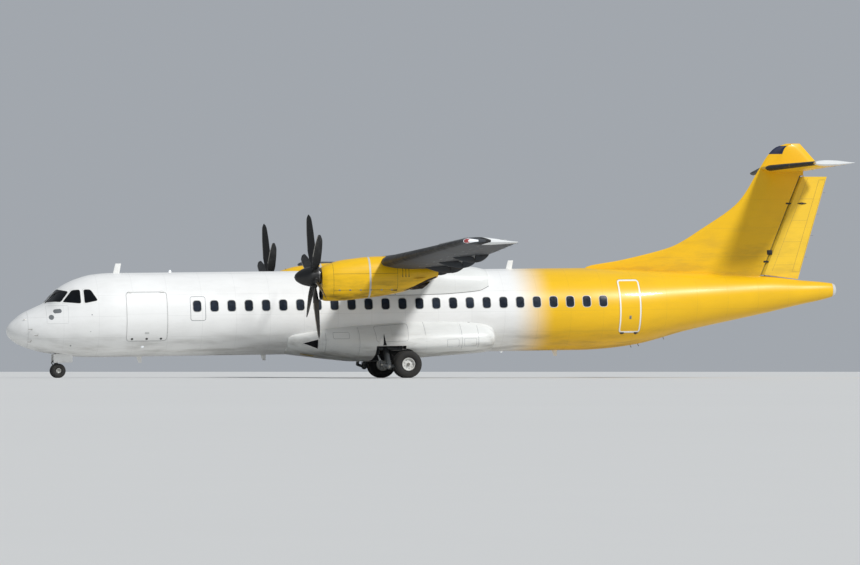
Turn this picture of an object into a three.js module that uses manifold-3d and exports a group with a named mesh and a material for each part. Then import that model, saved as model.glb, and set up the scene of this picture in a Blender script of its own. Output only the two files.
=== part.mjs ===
// A high-wing twin turboprop regional airliner, parked on its wheels.
// Millimetres. In the airframe's own frame X runs aft from the tip of the nose, Y to starboard
// and Z up from the mid-height axis of the fuselage. At the end the whole airframe is pitched
// to its parking stance and moved so that the origin is the bottom centre of its box.
import * as THREE from "three";
import { mergeVertices } from "three/addons/utils/BufferGeometryUtils.js";
import Module from "manifold-3d";

const wasm = await Module();
wasm.setup();

// Driving dimensions
const SEAT = 0.3; // gap between pieces that touch on the real aircraft
const RUNNING = 6; // clearance of a moving panel or surface
const STANCE = THREE.MathUtils.degToRad(0.9); // nose-down pitch as it parks
const LENGTH = 27166;
const FUSELAGE_HALF = 1432.5;
const ENGINE_Y = 4050;
const PROPELLER = { x: 9070, z: 1060, radius: 1965, tilt: THREE.MathUtils.degToRad(2.5), phase: 9 };
const WING = { breakY: 4620, tipY: 13525, rootLead: 11130, tipLead: 11710, rootChord: 2570, tipChord: 1590 };
const WING_Z = { root: 1450, dihedral: Math.tan(THREE.MathUtils.degToRad(2.5)), droop: 0.035 };
const MAIN_WHEEL = { x: 12370, y: 2050, z: -1692, twin: 200, radius: 430, width: 250, rim: 203 };
const NOSE_WHEEL = { x: 1600, y: 0, z: -1728, twin: 200, radius: 225, width: 190, rim: 75 };

// Finishes
const finish = (color, roughness, metalness) => (
  new THREE.MeshStandardMaterial({ color, roughness, metalness }));
const white = finish("#eef0ef", 0.35, 0.1);
const yellow = finish("#f2b81f", 0.35, 0.1);
const wingGrey = finish("#b9bdc1", 0.45, 0.2);
const bootBlack = finish("#191a1c", 0.6, 0);
const glassDark = finish("#15181d", 0.1, 0.2);
const tyreBlack = finish("#1a1a1b", 0.9, 0);
const hubWhite = finish("#dcdedd", 0.4, 0.3);
const gearGrey = finish("#5a5d61", 0.5, 0.6);
const engineMetal = finish("#8a8578", 0.5, 0.8);

// Solids
function signedVolume(positions, index) {
  const [a, b, c] = [new THREE.Vector3(), new THREE.Vector3(), new THREE.Vector3()];
  let sum = 0;
  for (let i = 0; i < index.length; i += 3) {
    a.fromArray(positions, 3 * index[i]);
    b.fromArray(positions, 3 * index[i + 1]);
    c.fromArray(positions, 3 * index[i + 2]);
    sum += a.dot(b.cross(c)) / 6;
  }
  return sum;
}

function closedGeometry(positions, index) {
  if (signedVolume(positions, index) < 0) index.reverse();
  const geometry = new THREE.BufferGeometry();
  geometry.setAttribute("position", new THREE.Float32BufferAttribute(positions, 3));
  geometry.setIndex(index);
  return geometry;
}

// Skin over a list of rings of equal length, closed at both ends by a fan about the ring's middle.
function loft(rings) {
  const count = rings[0].length;
  const positions = rings.flat(2);
  const index = [];
  for (let r = 0; r + 1 < rings.length; r++) {
    for (let i = 0; i < count; i++) {
      const a = r * count + i;
      const b = r * count + ((i + 1) % count);
      index.push(a, b, b + count, a, b + count, a + count);
    }
  }
  const ends = [[rings[0], 0, true], [rings.at(-1), (rings.length - 1) * count, false]];
  for (const [ring, start, flip] of ends) {
    const middle = [0, 1, 2].map((k) => ring.reduce((sum, p) => sum + p[k], 0) / count);
    const apex = positions.length / 3;
    positions.push(...middle);
    for (let i = 0; i < count; i++) {
      const a = start + i;
      const b = start + ((i + 1) % count);
      index.push(...(flip ? [apex, b, a] : [apex, a, b]));
    }
  }
  return closedGeometry(positions, index);
}

function toSolid(geometry) {
  const bare = geometry.clone();
  bare.deleteAttribute("normal");
  bare.deleteAttribute("uv");
  const merged = mergeVertices(bare, 0.001);
  const index = Array.from(merged.index.array);
  const kept = [];
  for (let i = 0; i < index.length; i += 3) {
    const [a, b, c] = index.slice(i, i + 3);
    if (a !== b && b !== c && c !== a) kept.push(a, b, c);
  }
  if (signedVolume(merged.attributes.position.array, kept) < 0) kept.reverse();
  return new wasm.Manifold(new wasm.Mesh({
    numProp: 3,
    vertProperties: new Float32Array(merged.attributes.position.array),
    triVerts: new Uint32Array(kept),
  }));
}

function fromSolid(solid) {
  const mesh = solid.getMesh();
  const geometry = new THREE.BufferGeometry();
  geometry.setAttribute("position", new THREE.Float32BufferAttribute(mesh.vertProperties, 3));
  geometry.setIndex(Array.from(mesh.triVerts));
  return geometry;
}

const cut = (solid, ...tools) => tools.reduce((left, tool) => left.subtract(tool), solid);
const join = (solid, ...others) => others.reduce((left, other) => left.add(other), solid);

function boxSolid(x0, x1, y0, y1, z0, z1) {
  const geometry = new THREE.BoxGeometry(x1 - x0, y1 - y0, z1 - z0);
  geometry.translate((x0 + x1) / 2, (y0 + y1) / 2, (z0 + z1) / 2);
  return toSolid(geometry);
}

// Round bar from one point to another.
function barSolid(from, to, radius, sides = 12, endRadius = radius) {
  const [a, b] = [new THREE.Vector3(...from), new THREE.Vector3(...to)];
  const geometry = new THREE.CylinderGeometry(endRadius, radius, a.distanceTo(b), sides);
  geometry.applyQuaternion(new THREE.Quaternion().setFromUnitVectors(
    new THREE.Vector3(0, 1, 0), b.clone().sub(a).normalize()));
  geometry.translate((a.x + b.x) / 2, (a.y + b.y) / 2, (a.z + b.z) / 2);
  return toSolid(geometry);
}

// Flat outline in X and Z, as thick as the span from y0 to y1.
function plateSolid(outline, y0, y1) {
  const shape = new THREE.Shape(outline.map(([x, z]) => new THREE.Vector2(x, z)));
  const geometry = new THREE.ExtrudeGeometry(shape, { depth: y1 - y0, bevelEnabled: false });
  geometry.rotateX(Math.PI / 2);
  geometry.translate(0, y1, 0);
  return toSolid(geometry);
}

// The outline moved outward by a distance at every edge.
function outset(outline, distance) {
  const points = outline.map(([x, z]) => new THREE.Vector2(x, z));
  const sense = THREE.ShapeUtils.area(points) > 0 ? 1 : -1;
  const normal = (i) => {
    const [a, b] = [points.at(i), points[(i + 1) % points.length]];
    return new THREE.Vector2(b.y - a.y, a.x - b.x).normalize().multiplyScalar(sense);
  };
  return points.map((point, i) => {
    const [before, after] = [normal(i - 1), normal(i)];
    const miter = before.clone().add(after).normalize();
    return point.clone().addScaledVector(miter, distance / miter.dot(after)).toArray();
  });
}

// Hinge pin along Y with a pointed end at each of two places.
function pinSolid(y0, y1, radius) {
  const [low, high] = [Math.min(y0, y1), Math.max(y0, y1)];
  const taper = 1.5 * radius;
  const half = [[0, low], [1, low], [radius, low + taper]];
  return turnedSolid([...half, [radius, high - taper], [1, high], [0, high]], 8);
}

// Profile of radius and height turned about the Y axis.
function turnedSolid(profile, sides) {
  return toSolid(new THREE.LatheGeometry(profile.map(([r, y]) => new THREE.Vector2(r, y)), sides));
}

// Space of a control surface in its hinge frame, from y0 to y1 along the hinge: everything aft
// of the lip line and a round nose about the hinge.
function surfaceSpace(y0, y1, lip, radii) {
  const [low, high] = [Math.min(y0, y1), Math.max(y0, y1)];
  const aft = boxSolid(-lip, 3000, low, high, -700, 700);
  return join(aft, barSolid([0, y0, 0], [0, y1, 0], radii[0], 20, radii[1]));
}

// The airframe group and its sub-parts
const airframe = new THREE.Group();

function addMesh(name, solid, material, parent = airframe) {
  const mesh = new THREE.Mesh(fromSolid(solid), material);
  mesh.name = name;
  parent.add(mesh);
}

// A joint's group: its origin is on the hinge line and its own Y axis runs along that line.
function addPivot(name, origin, toward) {
  const pivot = new THREE.Group();
  pivot.name = name;
  pivot.position.set(...origin);
  const along = new THREE.Vector3(...toward).sub(pivot.position).normalize();
  pivot.quaternion.setFromUnitVectors(new THREE.Vector3(0, 1, 0), along);
  pivot.updateMatrix();
  airframe.add(pivot);
  return pivot;
}

const inPivot = (pivot, solid) => solid.transform(pivot.matrix.clone().invert().toArray());
const fromPivot = (pivot, solid) => solid.transform(pivot.matrix.toArray());

function interpolate(table, x) {
  const last = table.length - 1;
  if (x <= table[0][0]) return table[0];
  if (x >= table[last][0]) return table[last];
  const i = table.findIndex((row) => row[0] > x) - 1;
  const t = (x - table[i][0]) / (table[i + 1][0] - table[i][0]);
  return table[i].map((value, k) => value + t * (table[i + 1][k] - value));
}

// Stations from x0 to x1, with every row of the table that lies between them.
function stationsBetween(table, x0, x1) {
  const inner = table.map((row) => row[0]).filter((x) => x > x0 + 1 && x < x1 - 1);
  return [x0, ...inner, x1];
}

// Fuselage: columns are station, top, bottom, half width, height of the widest point, crown
// exponent (2 is an ellipse, less is more peaked).
const FUSELAGE = [
  [0, -425, -445, 10, -435, 2],
  [40, -316, -614, 165, -465, 2],
  [210, -132, -788, 400, -460, 2],
  [500, 90, -950, 650, -430, 2],
  [830, 245, -1065, 850, -400, 2],
  [1230, 440, -1165, 1040, -350, 2],
  [1580, 822, -1215, 1160, -280, 1.85],
  [1880, 1010, -1255, 1235, -230, 1.9],
  [2160, 1134, -1290, 1300, -190, 1.95],
  [2720, 1281, -1316, 1385, -130, 2],
  [3300, 1322, -1320, 1432, -110, 2],
  [18500, 1322, -1320, 1432, -110, 2],
  [19240, 1292, -1290, 1400, -70, 2],
  [20340, 1233, -1165, 1300, 20, 2],
  [21980, 1140, -764, 1020, 200, 2],
  [24750, 997, -207, 560, 400, 2],
  [25890, 854, 40, 370, 450, 2],
  [27020, 735, 288, 180, 510, 2],
  [27120, 690, 345, 135, 515, 2],
  [LENGTH, 600, 440, 60, 520, 2],
];
const FUSELAGE_SIDES = 32;

function fuselageRing(x, grow = 0) {
  const [, top, bottom, half, middle, crown] = interpolate(FUSELAGE, x);
  return Array.from({ length: FUSELAGE_SIDES }, (_, i) => {
    const angle = (2 * Math.PI * i) / FUSELAGE_SIDES;
    const [c, s] = [Math.cos(angle), Math.sin(angle)];
    const power = 2 / (s > 0 ? crown : 2);
    const y = (half + grow) * Math.sign(c) * Math.abs(c) ** power;
    const reach = s > 0 ? top + grow - middle : middle - bottom + grow;
    return [x, y, middle + reach * Math.sign(s) * Math.abs(s) ** power];
  });
}

function fuselageSolid(x0, x1, grow = 0) {
  return toSolid(loft(stationsBetween(FUSELAGE, x0, x1).map((x) => fuselageRing(x, grow))));
}

// Half width of the fuselage skin at a height.
function skinHalfWidth(x, z) {
  const [, top, bottom, half, middle, crown] = interpolate(FUSELAGE, x);
  const [reach, power] = z > middle ? [top - middle, crown] : [middle - bottom, 2];
  return half * (1 - (Math.abs(z - middle) / reach) ** power) ** (1 / power);
}

// Flat pads that take the jacks: place of the face's centre and radius.
const JACK_PADS = {
  fuselage: { at: [6600, 0, -1334], radius: 60 },
  wings: [-1, 1].map((side) => ({ at: [12200, side * 2900, 1238], radius: 55 })),
};

const padSolid = ({ at: [x, y, z], radius }) => barSolid([x, y, z], [x, y, z + 60], radius, 16);

// Doors on the port side: sill and head are heights, hinge names the edge that carries it.
const DOORS = [
  { name: "cargo_door", x0: 3620, x1: 4900, sill: -840, head: 690, hinge: "head", bay: 1100 },
  { name: "passenger_door", x0: 19500, x1: 20240, sill: -800, head: 920, hinge: "sill", bay: 1000 },
];
const DOOR_THICK = 90;
const HINGE = { radius: 20, off: 28, web: 20, bracket: 70, lug: 22, inset: 130 };

// Hinge line of a door, just outside the skin at its hinged edge. In its frame X points out of
// the skin, Y aft along the line and Z up.
function doorPivot(door) {
  const z = door.hinge === "sill" ? door.sill - RUNNING / 2 : door.head + RUNNING / 2;
  const middle = (door.x0 + door.x1) / 2;
  const slope = (skinHalfWidth(door.x1, z) - skinHalfWidth(door.x0, z)) / (door.x1 - door.x0);
  const y = -skinHalfWidth(middle, z) - HINGE.off;
  return addPivot(`${door.name}_pivot`, [middle, y, z], [middle + 1000, y - 1000 * slope, z]);
}

// Box over the door's outline in its hinge frame, grown at the edges, from a depth outward.
function doorBox(door, pivot, grow, depth) {
  const half = (door.x1 - door.x0) / 2 + grow;
  const [low, high] = [door.sill - pivot.position.z - grow, door.head - pivot.position.z + grow];
  return boxSolid(-depth, 600, -half, half, low, high);
}

// Round knuckles on the hinge line, each with a web back to the fuselage or to the door.
function hingeKnuckles(door, onDoor) {
  const away = door.hinge === "sill" ? 1 : -1;
  const [reach, lean] = onDoor ? [away * 90, -away * 0.28] : [-away * 200, away * 1.1];
  const inner = HINGE.bracket / 2;
  const outer = inner + SEAT + HINGE.lug;
  const spans = onDoor ? [[-outer, -inner - SEAT], [inner + SEAT, outer]] : [[-inner, inner]];
  const offset = (door.x1 - door.x0) / 2 - HINGE.inset;
  return [-offset, offset].flatMap((place) => spans.map(([from, to]) => {
    const web = new THREE.BoxGeometry(HINGE.web, to - from, Math.abs(reach));
    web.translate(0, 0, reach / 2);
    web.rotateY(lean);
    web.translate(0, place + (from + to) / 2, 0);
    return join(toSolid(web), barSolid([0, place + from, 0], [0, place + to, 0], HINGE.radius, 10));
  }));
}

// Cuts the opening and its bay in a fuselage section and adds the door with its hinge.
function fitDoor(door, body, skin) {
  const pivot = doorPivot(door);
  const inner = fuselageSolid(door.x0 - 200, door.x1 + 200, -DOOR_THICK);
  const panel = cut(doorBox(door, pivot, 0, 600).intersect(inPivot(pivot, skin)), inPivot(pivot, inner));
  addMesh(door.name, join(panel, ...hingeKnuckles(door, true)), white, pivot);
  const opened = cut(body, fromPivot(pivot, doorBox(door, pivot, RUNNING, door.bay)));
  return join(opened, ...hingeKnuckles(door, false).map((piece) => fromPivot(pivot, piece)));
}

// Flight-deck glazing: side outline of the window band, front to rear.
const GLAZING_OUTLINE = [
  [1200, 405], [1620, 400], [2240, 352], [2745, 430], [2550, 815], [1900, 835], [1520, 900], [1200, 900],
];
const GLAZING_THICK = 60;

function addFlightDeck() {
  const skin = fuselageSolid(620 + SEAT / 2, 3300 - SEAT / 2);
  const core = fuselageSolid(700, 3100, -GLAZING_THICK);
  const band = plateSolid(outset(GLAZING_OUTLINE, -SEAT), -1600, 1600);
  const glass = cut(band.intersect(skin), core);
  const pocket = plateSolid(GLAZING_OUTLINE, -1600, 1600);
  const backing = fuselageSolid(1000, 3000, -GLAZING_THICK - SEAT);
  const shell = cut(skin, cut(pocket, backing));
  addMesh("flight_deck", cut(shell, noseBay()), white);
  addMesh("flight_deck_glazing", glass, glassDark);
}

// Nose wheel bay: the part that stays open while the leg is down.
const NOSE_BAY = { x0: 1430, x1: 2050, half: 270, top: -800 };
const noseBay = () => boxSolid(NOSE_BAY.x0, NOSE_BAY.x1, -NOSE_BAY.half, NOSE_BAY.half, -1500, NOSE_BAY.top);

function addFuselage() {
  addMesh("radome", fuselageSolid(0, 620 - SEAT / 2), white);
  addFlightDeck();
  const sections = [
    { name: "fuselage_forward", x0: 3300, x1: 9000, material: white },
    { name: "fuselage_centre", x0: 9000, x1: 15700, material: white },
    { name: "fuselage_rear", x0: 15700, x1: 20900, material: yellow },
    { name: "fuselage_aft", x0: 20900, x1: 25890, material: yellow },
    { name: "tail_cone", x0: 25890, x1: LENGTH, material: yellow },
  ];
  for (const { name, x0, x1, material } of sections) {
    const skin = fuselageSolid(x0 + SEAT / 2, x1 - (x1 === LENGTH ? 0 : SEAT / 2));
    let body = skin;
    for (const door of DOORS.filter((each) => each.x0 > x0 && each.x1 < x1)) body = fitDoor(door, body, skin);
    if (name === "fuselage_forward") body = join(body, padSolid(JACK_PADS.fuselage));
    addMesh(name, body, material);
  }
}

// Belly and main gear fairing: station, half width, height of the widest point, bottom, rise of
// the upper side.
const BELLY = [
  [8750, 1180, -750, -1290, 200],
  [9100, 1370, -810, -1350, 320],
  [9560, 1560, -860, -1410, 450],
  [10250, 1780, -930, -1500, 640],
  [11100, 1920, -1000, -1580, 790],
  [12000, 1965, -1030, -1585, 900],
  [13000, 1965, -1020, -1505, 950],
  [14200, 1920, -980, -1425, 880],
  [15000, 1800, -930, -1375, 740],
  [15290, 1640, -900, -1335, 560],
  [15370, 1450, -880, -1290, 380],
];
const BELLY_SIDES = 28;

function bellyRing([x, half, middle, bottom, rise]) {
  return Array.from({ length: BELLY_SIDES }, (_, i) => {
    const angle = (2 * Math.PI * i) / BELLY_SIDES;
    const [c, s] = [Math.cos(angle), Math.sin(angle)];
    const power = 2 / (s > 0 ? 2 : 2.5);
    const reach = s > 0 ? rise : middle - bottom;
    const z = middle + reach * Math.sign(s) * Math.abs(s) ** power;
    return [x, half * Math.sign(c) * Math.abs(c) ** power, z];
  });
}

// Main wheel bay on one side: the slot for the leg, the round well for the wheels and the arch
// over them as they stand.
const MAIN_BAY = { x0: 11440, x1: 12390, inner: 560, top: -1110, wellX: 12370, wellY: 960, wellRadius: 500 };

function mainBay(side) {
  const [a, b] = [side * MAIN_BAY.inner, side * 2200];
  const slot = boxSolid(MAIN_BAY.x0, MAIN_BAY.x1, Math.min(a, b), Math.max(a, b), -1800, MAIN_BAY.top);
  const centre = [MAIN_BAY.wellX, side * MAIN_BAY.wellY];
  const well = barSolid([...centre, -1800], [...centre, MAIN_BAY.top], MAIN_BAY.wellRadius, 20);
  const [x, z] = [MAIN_WHEEL.x, MAIN_WHEEL.z];
  return join(slot, well, barSolid([x, side * 1400, z], [x, side * 2200, z], MAIN_WHEEL.radius + 60, 20));
}

// Air scoop on each side of the fairing's front: a triangular recess with an upright floor.
const SCOOP = { outline: [[9175, -985], [9640, -870], [9640, -1165]], floor: 1345, out: 1800 };

function addBellyFairing() {
  const outer = toSolid(loft(BELLY.map(bellyRing)));
  const hull = fuselageSolid(8000, 16500, SEAT);
  const scoops = [[-SCOOP.out, -SCOOP.floor], [SCOOP.floor, SCOOP.out]].map((span) => (
    plateSolid(SCOOP.outline, ...span)));
  addMesh("belly_fairing", cut(outer, hull, mainBay(-1), mainBay(1), ...scoops), white);
}

// Wing sections. Upper and lower offsets of the skin from the chord, in thousandths of it.
const AIRFOIL = [
  [0, 0, 0], [12, 32, -20], [50, 60, -36], [120, 84, -48], [220, 99, -56], [340, 103, -58],
  [480, 94, -53], [620, 76, -42], [740, 54, -29], [860, 29, -16], [1000, 2, -2],
];

// Rounded tip: where it starts, how far the leading edge falls back and the thickness left.
const WING_TIP = { from: 13230, back: 340, left: 0.35 };

// Leading edge, chord, height and thickness scale of the wing at a span station.
function wingStation(y) {
  const span = Math.abs(y);
  const t = Math.max(0, (span - WING.breakY) / (WING.tipY - WING.breakY));
  const u = Math.max(0, (span - WING_TIP.from) / (WING.tipY - WING_TIP.from));
  const fall = 1 - Math.sqrt(1 - u * u);
  return {
    lead: WING.rootLead + t * (WING.tipLead - WING.rootLead) + WING_TIP.back * fall,
    chord: WING.rootChord + t * (WING.tipChord - WING.rootChord) - WING_TIP.back * fall,
    z: WING_Z.root + Math.max(0, span - WING.breakY) * WING_Z.dihedral,
    thick: (1.12 - 0.3 * t) * (1 - (1 - WING_TIP.left) * fall),
  };
}

function wingPoint(station, share, offset) {
  const x = station.lead + share * station.chord;
  const z = station.z - share * station.chord * WING_Z.droop + offset * station.chord * station.thick;
  return [x, z];
}

// Ring around a wing section at a span station, with its skin pushed out by a distance.
function wingRing(y, grow = 0) {
  const station = wingStation(y);
  const upper = AIRFOIL.map(([share, up]) => wingPoint(station, share / 1000, up / 1000));
  const lower = AIRFOIL.slice(1).map(([share, , down]) => wingPoint(station, share / 1000, down / 1000));
  const outline = [...upper, ...lower.reverse()];
  const middleX = station.lead + 0.45 * station.chord;
  return outline.map(([x, z], i) => [
    x + (grow * (x - middleX)) / (0.5 * station.chord),
    y,
    z + (i < AIRFOIL.length ? grow : -grow) * (i === 0 ? 0 : 1),
  ]);
}

const wingSolid = (stations, grow = 0) => toSolid(loft(stations.map((y) => wingRing(y, grow))));

// Moving surfaces of the wing: spans, the hinge's share of the chord and its drop below the
// chord line as a share of the chord.
const FLAP_CUT = 0.735;
const FLAP_END = 28; // gap at a flap's outer end, which moves outward as the flap goes down
const FLAP_HINGE = { share: 0.80, drop: 0.105 };
const AILERON = { hinge: 0.77, lip: 24, nose: [76, 60] };
const SURFACES = [
  { name: "flap_inboard", from: 1500, to: 3640, kind: "flap" },
  { name: "flap_outboard", from: 4640, to: 9600, kind: "flap" },
  { name: "aileron", from: 9760, to: 13200, kind: "aileron" },
];
const FLAP_BRACKETS = {
  flap_inboard: [1900, 3300],
  flap_outboard: [5100, 7000, 8900],
};

// Slab behind a share of the chord, over a span, that takes the moving part of the wing.
function rearSlab(y0, y1, share, back, side) {
  const rings = [y0, y1].map((span) => {
    const station = wingStation(span);
    const x = station.lead + share * station.chord + back;
    const outline = [[x, -400], [16000, -400], [16000, 600], [x, 600]];
    return outline.map(([px, dz]) => [px, side * span, station.z + dz]);
  });
  return toSolid(loft(rings));
}

function hingePoint(surface, span, side) {
  const station = wingStation(span);
  const isFlap = surface.kind === "flap";
  const share = isFlap ? FLAP_HINGE.share : AILERON.hinge;
  const [x, z] = wingPoint(station, share, 0);
  return [x, side * span, isFlap ? z - FLAP_HINGE.drop * station.chord : z + 0.011 * station.chord];
}

const BRACKET_HALF = 38;
const LUG_THICK = 16;

// The first point reflected through the second's opposite side, to turn a line round.
const mirrorThrough = (from, to) => from.map((value, k) => 2 * value - to[k]);

// Bracket under the wing that reaches back to the flap's hinge line, in the pivot's frame.
function flapBracket(pivot, y, chord) {
  const outline = [[-0.32, 0.065], [-0.1, 0.075], [-0.035, 0.07], [-0.0, 0.012], [0.012, 0], [0, -0.014],
    [-0.04, -0.018], [-0.14, -0.006], [-0.26, 0.03]];
  const points = outline.map(([x, z]) => [x * chord, z * chord]);
  return fromPivot(pivot, plateSolid(points, y - BRACKET_HALF, y + BRACKET_HALF));
}

// Pair of lugs that hang from the flap on both sides of a bracket.
function flapLugs(y, chord) {
  const outline = [
    [-0.012, 0.012], [-0.012, -0.012], [0.02, -0.016], [0.11, 0.02], [0.13, 0.085], [0.0, 0.085],
  ];
  const points = outline.map(([x, z]) => [x * chord, z * chord]);
  return [-1, 1].map((edge) => {
    const inner = y + edge * (BRACKET_HALF + SEAT);
    const outerFace = inner + edge * LUG_THICK;
    return plateSolid(points, Math.min(inner, outerFace), Math.max(inner, outerFace));
  });
}

function addWing() {
  const centreStations = [-WING.breakY + SEAT / 2, WING.breakY - SEAT / 2];
  const panels = {};
  const outerStations = [WING.breakY + SEAT / 2, 9000, WING_TIP.from, 13360, 13450, 13505, WING.tipY];
  let centreCut = wingSolid(centreStations);
  for (const side of [-1, 1]) {
    const label = side < 0 ? "left" : "right";
    panels[label] = wingSolid(outerStations.map((span) => side * span));
    const full = wingSolid([side * 1000, side * WING.breakY, side * WING_TIP.from]);
    for (const surface of SURFACES) {
      const { from, to, kind, name } = surface;
      const isFlap = kind === "flap";
      const [inboard, outboard] = [from, to].map((span) => hingePoint(surface, span, side));
      const toward = side < 0 ? mirrorThrough(inboard, outboard) : outboard;
      const pivot = addPivot(`${name}_${label}_pivot`, inboard, toward);
      const length = Math.hypot(...inboard.map((value, k) => outboard[k] - value));
      const ends = [side * RUNNING, side * (length - RUNNING)];
      if (isFlap) {
        const bay = rearSlab(from, to, FLAP_CUT, 0, side);
        const moving = rearSlab(from + RUNNING, to - FLAP_END, FLAP_CUT, RUNNING * 2, side);
        let body = inPivot(pivot, full.intersect(moving));
        const brackets = FLAP_BRACKETS[name].map((span) => ({
          along: (side * length * (span - from)) / (to - from),
          chord: wingStation(span).chord,
        }));
        for (const { along, chord } of brackets) body = join(body, ...flapLugs(along, chord));
        const fixed = brackets.map(({ along, chord }) => flapBracket(pivot, along, chord));
        if (name === "flap_inboard") centreCut = join(cut(centreCut, bay), ...fixed);
        else panels[label] = join(cut(panels[label], bay), ...fixed);
        addMesh(`${name}_${label}`, body, wingGrey, pivot);
      } else {
        const space = surfaceSpace(...ends, 0, AILERON.nose);
        const pin = pinSolid(side * SEAT, side * (length - SEAT), 14);
        const body = join(inPivot(pivot, full).intersect(space), pin);
        const bay = surfaceSpace(0, side * length, AILERON.lip, AILERON.nose.map((r) => r + RUNNING + 2));
        panels[label] = cut(panels[label], fromPivot(pivot, bay));
        addMesh(`${name}_${label}`, body, wingGrey, pivot);
      }
    }
  }
  const padded = join(centreCut, ...JACK_PADS.wings.map(padSolid));
  addMesh("wing_centre", cut(padded, fuselageSolid(8000, 16500, SEAT)), wingGrey);
  for (const label of ["left", "right"]) addMesh(`wing_${label}`, panels[label], wingGrey);
}

// Fairing between wing and fuselage: station, lower edge, crest.
const ROOT_FAIRING = [
  [9390, 1220, 1318],
  [10040, 885, 1460],
  [10700, 660, 1560],
  [11200, 540, 1600],
  [12400, 500, 1560],
  [13700, 520, 1520],
  [14360, 560, 1455],
  [14940, 620, 1390],
  [15260, 760, 1318],
];
const ROOT_SIDES = 20;

function rootRing([x, lower, crest]) {
  const half = skinHalfWidth(x, lower) + 12;
  const upper = Array.from({ length: ROOT_SIDES + 1 }, (_, i) => {
    const angle = (Math.PI * i) / ROOT_SIDES;
    const [c, s] = [Math.cos(angle), Math.sin(angle)];
    const power = 2 / 3.2;
    return [x, half * Math.sign(c) * Math.abs(c) ** power, lower + (crest - lower) * s ** power];
  });
  return [...upper, [x, -0.8 * half, lower - 40], [x, 0.8 * half, lower - 40]];
}

function addRootFairing() {
  const outer = toSolid(loft(ROOT_FAIRING.map(rootRing)));
  const hull = fuselageSolid(8000, 16500, SEAT);
  const wing = wingSolid([-3000, 3000], SEAT);
  const flapBays = [-1, 1].map((side) => rearSlab(1500 - RUNNING, 4000, FLAP_CUT, 0, side));
  addMesh("wing_root_fairing", cut(outer, hull, wing, ...flapBays), white);
}

// Nacelle: station, top, bottom, half width, height of the widest point.
const NACELLE = [
  [9285, 1350, 335, 335, 960],
  [9460, 1425, 297, 400, 930],
  [9930, 1555, 305, 450, 920],
  [10300, 1600, 335, 460, 950],
  [10700, 1645, 375, 462, 980],
  [11100, 1660, 425, 460, 1000],
  [11500, 1655, 485, 450, 1050],
  [11850, 1600, 552, 430, 1080],
  [12370, 1420, 735, 360, 1150],
  [12950, 1290, 985, 220, 1170],
];
const NACELLE_SIDES = 20;
const ENGINE = { x0: 9620, x1: 11620, half: 310, z0: 590, z1: 1225 };
const SHAFT_RADIUS = 95;
const INTAKE = { z: 507, wide: 210, high: 132 };
const EXHAUST = { from: [11900, 700], to: [13100, 790], radius: 120 };

function nacelleRing([x, top, bottom, half, middle], y) {
  return Array.from({ length: NACELLE_SIDES }, (_, i) => {
    const angle = (2 * Math.PI * i) / NACELLE_SIDES;
    const [c, s] = [Math.cos(angle), Math.sin(angle)];
    const power = 2 / (s > 0 ? 2.1 : 2.3);
    const reach = s > 0 ? top - middle : middle - bottom;
    const z = middle + reach * Math.sign(s) * Math.abs(s) ** power;
    return [x, y + half * Math.sign(c) * Math.abs(c) ** power, z];
  });
}

function addNacelles() {
  const wing = wingSolid([-WING.breakY + 1, WING.breakY - 1], SEAT);
  for (const side of [-1, 1]) {
    const label = side < 0 ? "left" : "right";
    const y = side * ENGINE_Y;
    const outer = toSolid(loft(NACELLE.map((row) => nacelleRing(row, y))));
    const { x0, x1, half, z0, z1 } = ENGINE;
    const cavity = boxSolid(x0 - 80, x1 + 40, y - half - 30, y + half + 30, z0 - 20, z1 + SEAT);
    const duct = barSolid([9200, 0, 0], [x0, 0, 0], 1, 16).scale([1, INTAKE.wide, INTAKE.high]).translate(
      [0, y, INTAKE.z]);
    const rise = boxSolid(x0 - 80, x0 + 200, y - INTAKE.wide, y + INTAKE.wide, INTAKE.z - INTAKE.high, z0);
    const [outletX, outletZ] = EXHAUST.from;
    const exhaust = barSolid([outletX, y, outletZ], [EXHAUST.to[0], y, EXHAUST.to[1]], EXHAUST.radius, 16);
    const onShaft = (x) => [x, y, shaftHeight(x)];
    const shaftHole = barSolid(onShaft(9200), onShaft(x0 + 10), SHAFT_RADIUS + 15, 16);
    const tools = [wing, cavity, duct, rise, shaftHole, exhaust];
    addMesh(`nacelle_${label}`, cut(outer, ...tools), yellow);
    const shaft = barSolid(onShaft(SPINNER_BACK), onShaft(x0 + 5), SHAFT_RADIUS, 16);
    const block = boxSolid(x0, x1, y - half, y + half, z0, z1);
    const mount = boxSolid(x0 + 100, x0 + 220, y - half - 30 + SEAT, y + half + 30 - SEAT, z0 + 60, z1);
    addMesh(`engine_${label}`, join(block, mount, shaft), engineMetal);
  }
}

// Propeller: spinner profile as radius and distance ahead of the hub plane.
const SPINNER_DEPTH = 170;
const SPINNER_BACK = PROPELLER.x + (SPINNER_DEPTH + SEAT) * Math.cos(PROPELLER.tilt);
const SPINNER = [
  [0, -SPINNER_DEPTH], [300, -SPINNER_DEPTH], [312, -90], [308, 90],
  [270, 280], [190, 460], [85, 580], [0, 612],
];
const BLADE_ROOT = { radius: 78, start: 190, shank: 330 };
// Blade: radius, chord, thickness, pitch in degrees from the plane of rotation.
const BLADE = [
  [430, 150, 90, 62],
  [620, 235, 56, 54],
  [900, 300, 36, 46],
  [1300, 300, 24, 38],
  [1650, 262, 17, 33],
  [1860, 205, 12, 30],
  [PROPELLER.radius - 15, 90, 8, 29],
];

const shaftHeight = (x) => PROPELLER.z + (x - PROPELLER.x) * Math.tan(PROPELLER.tilt);

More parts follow.
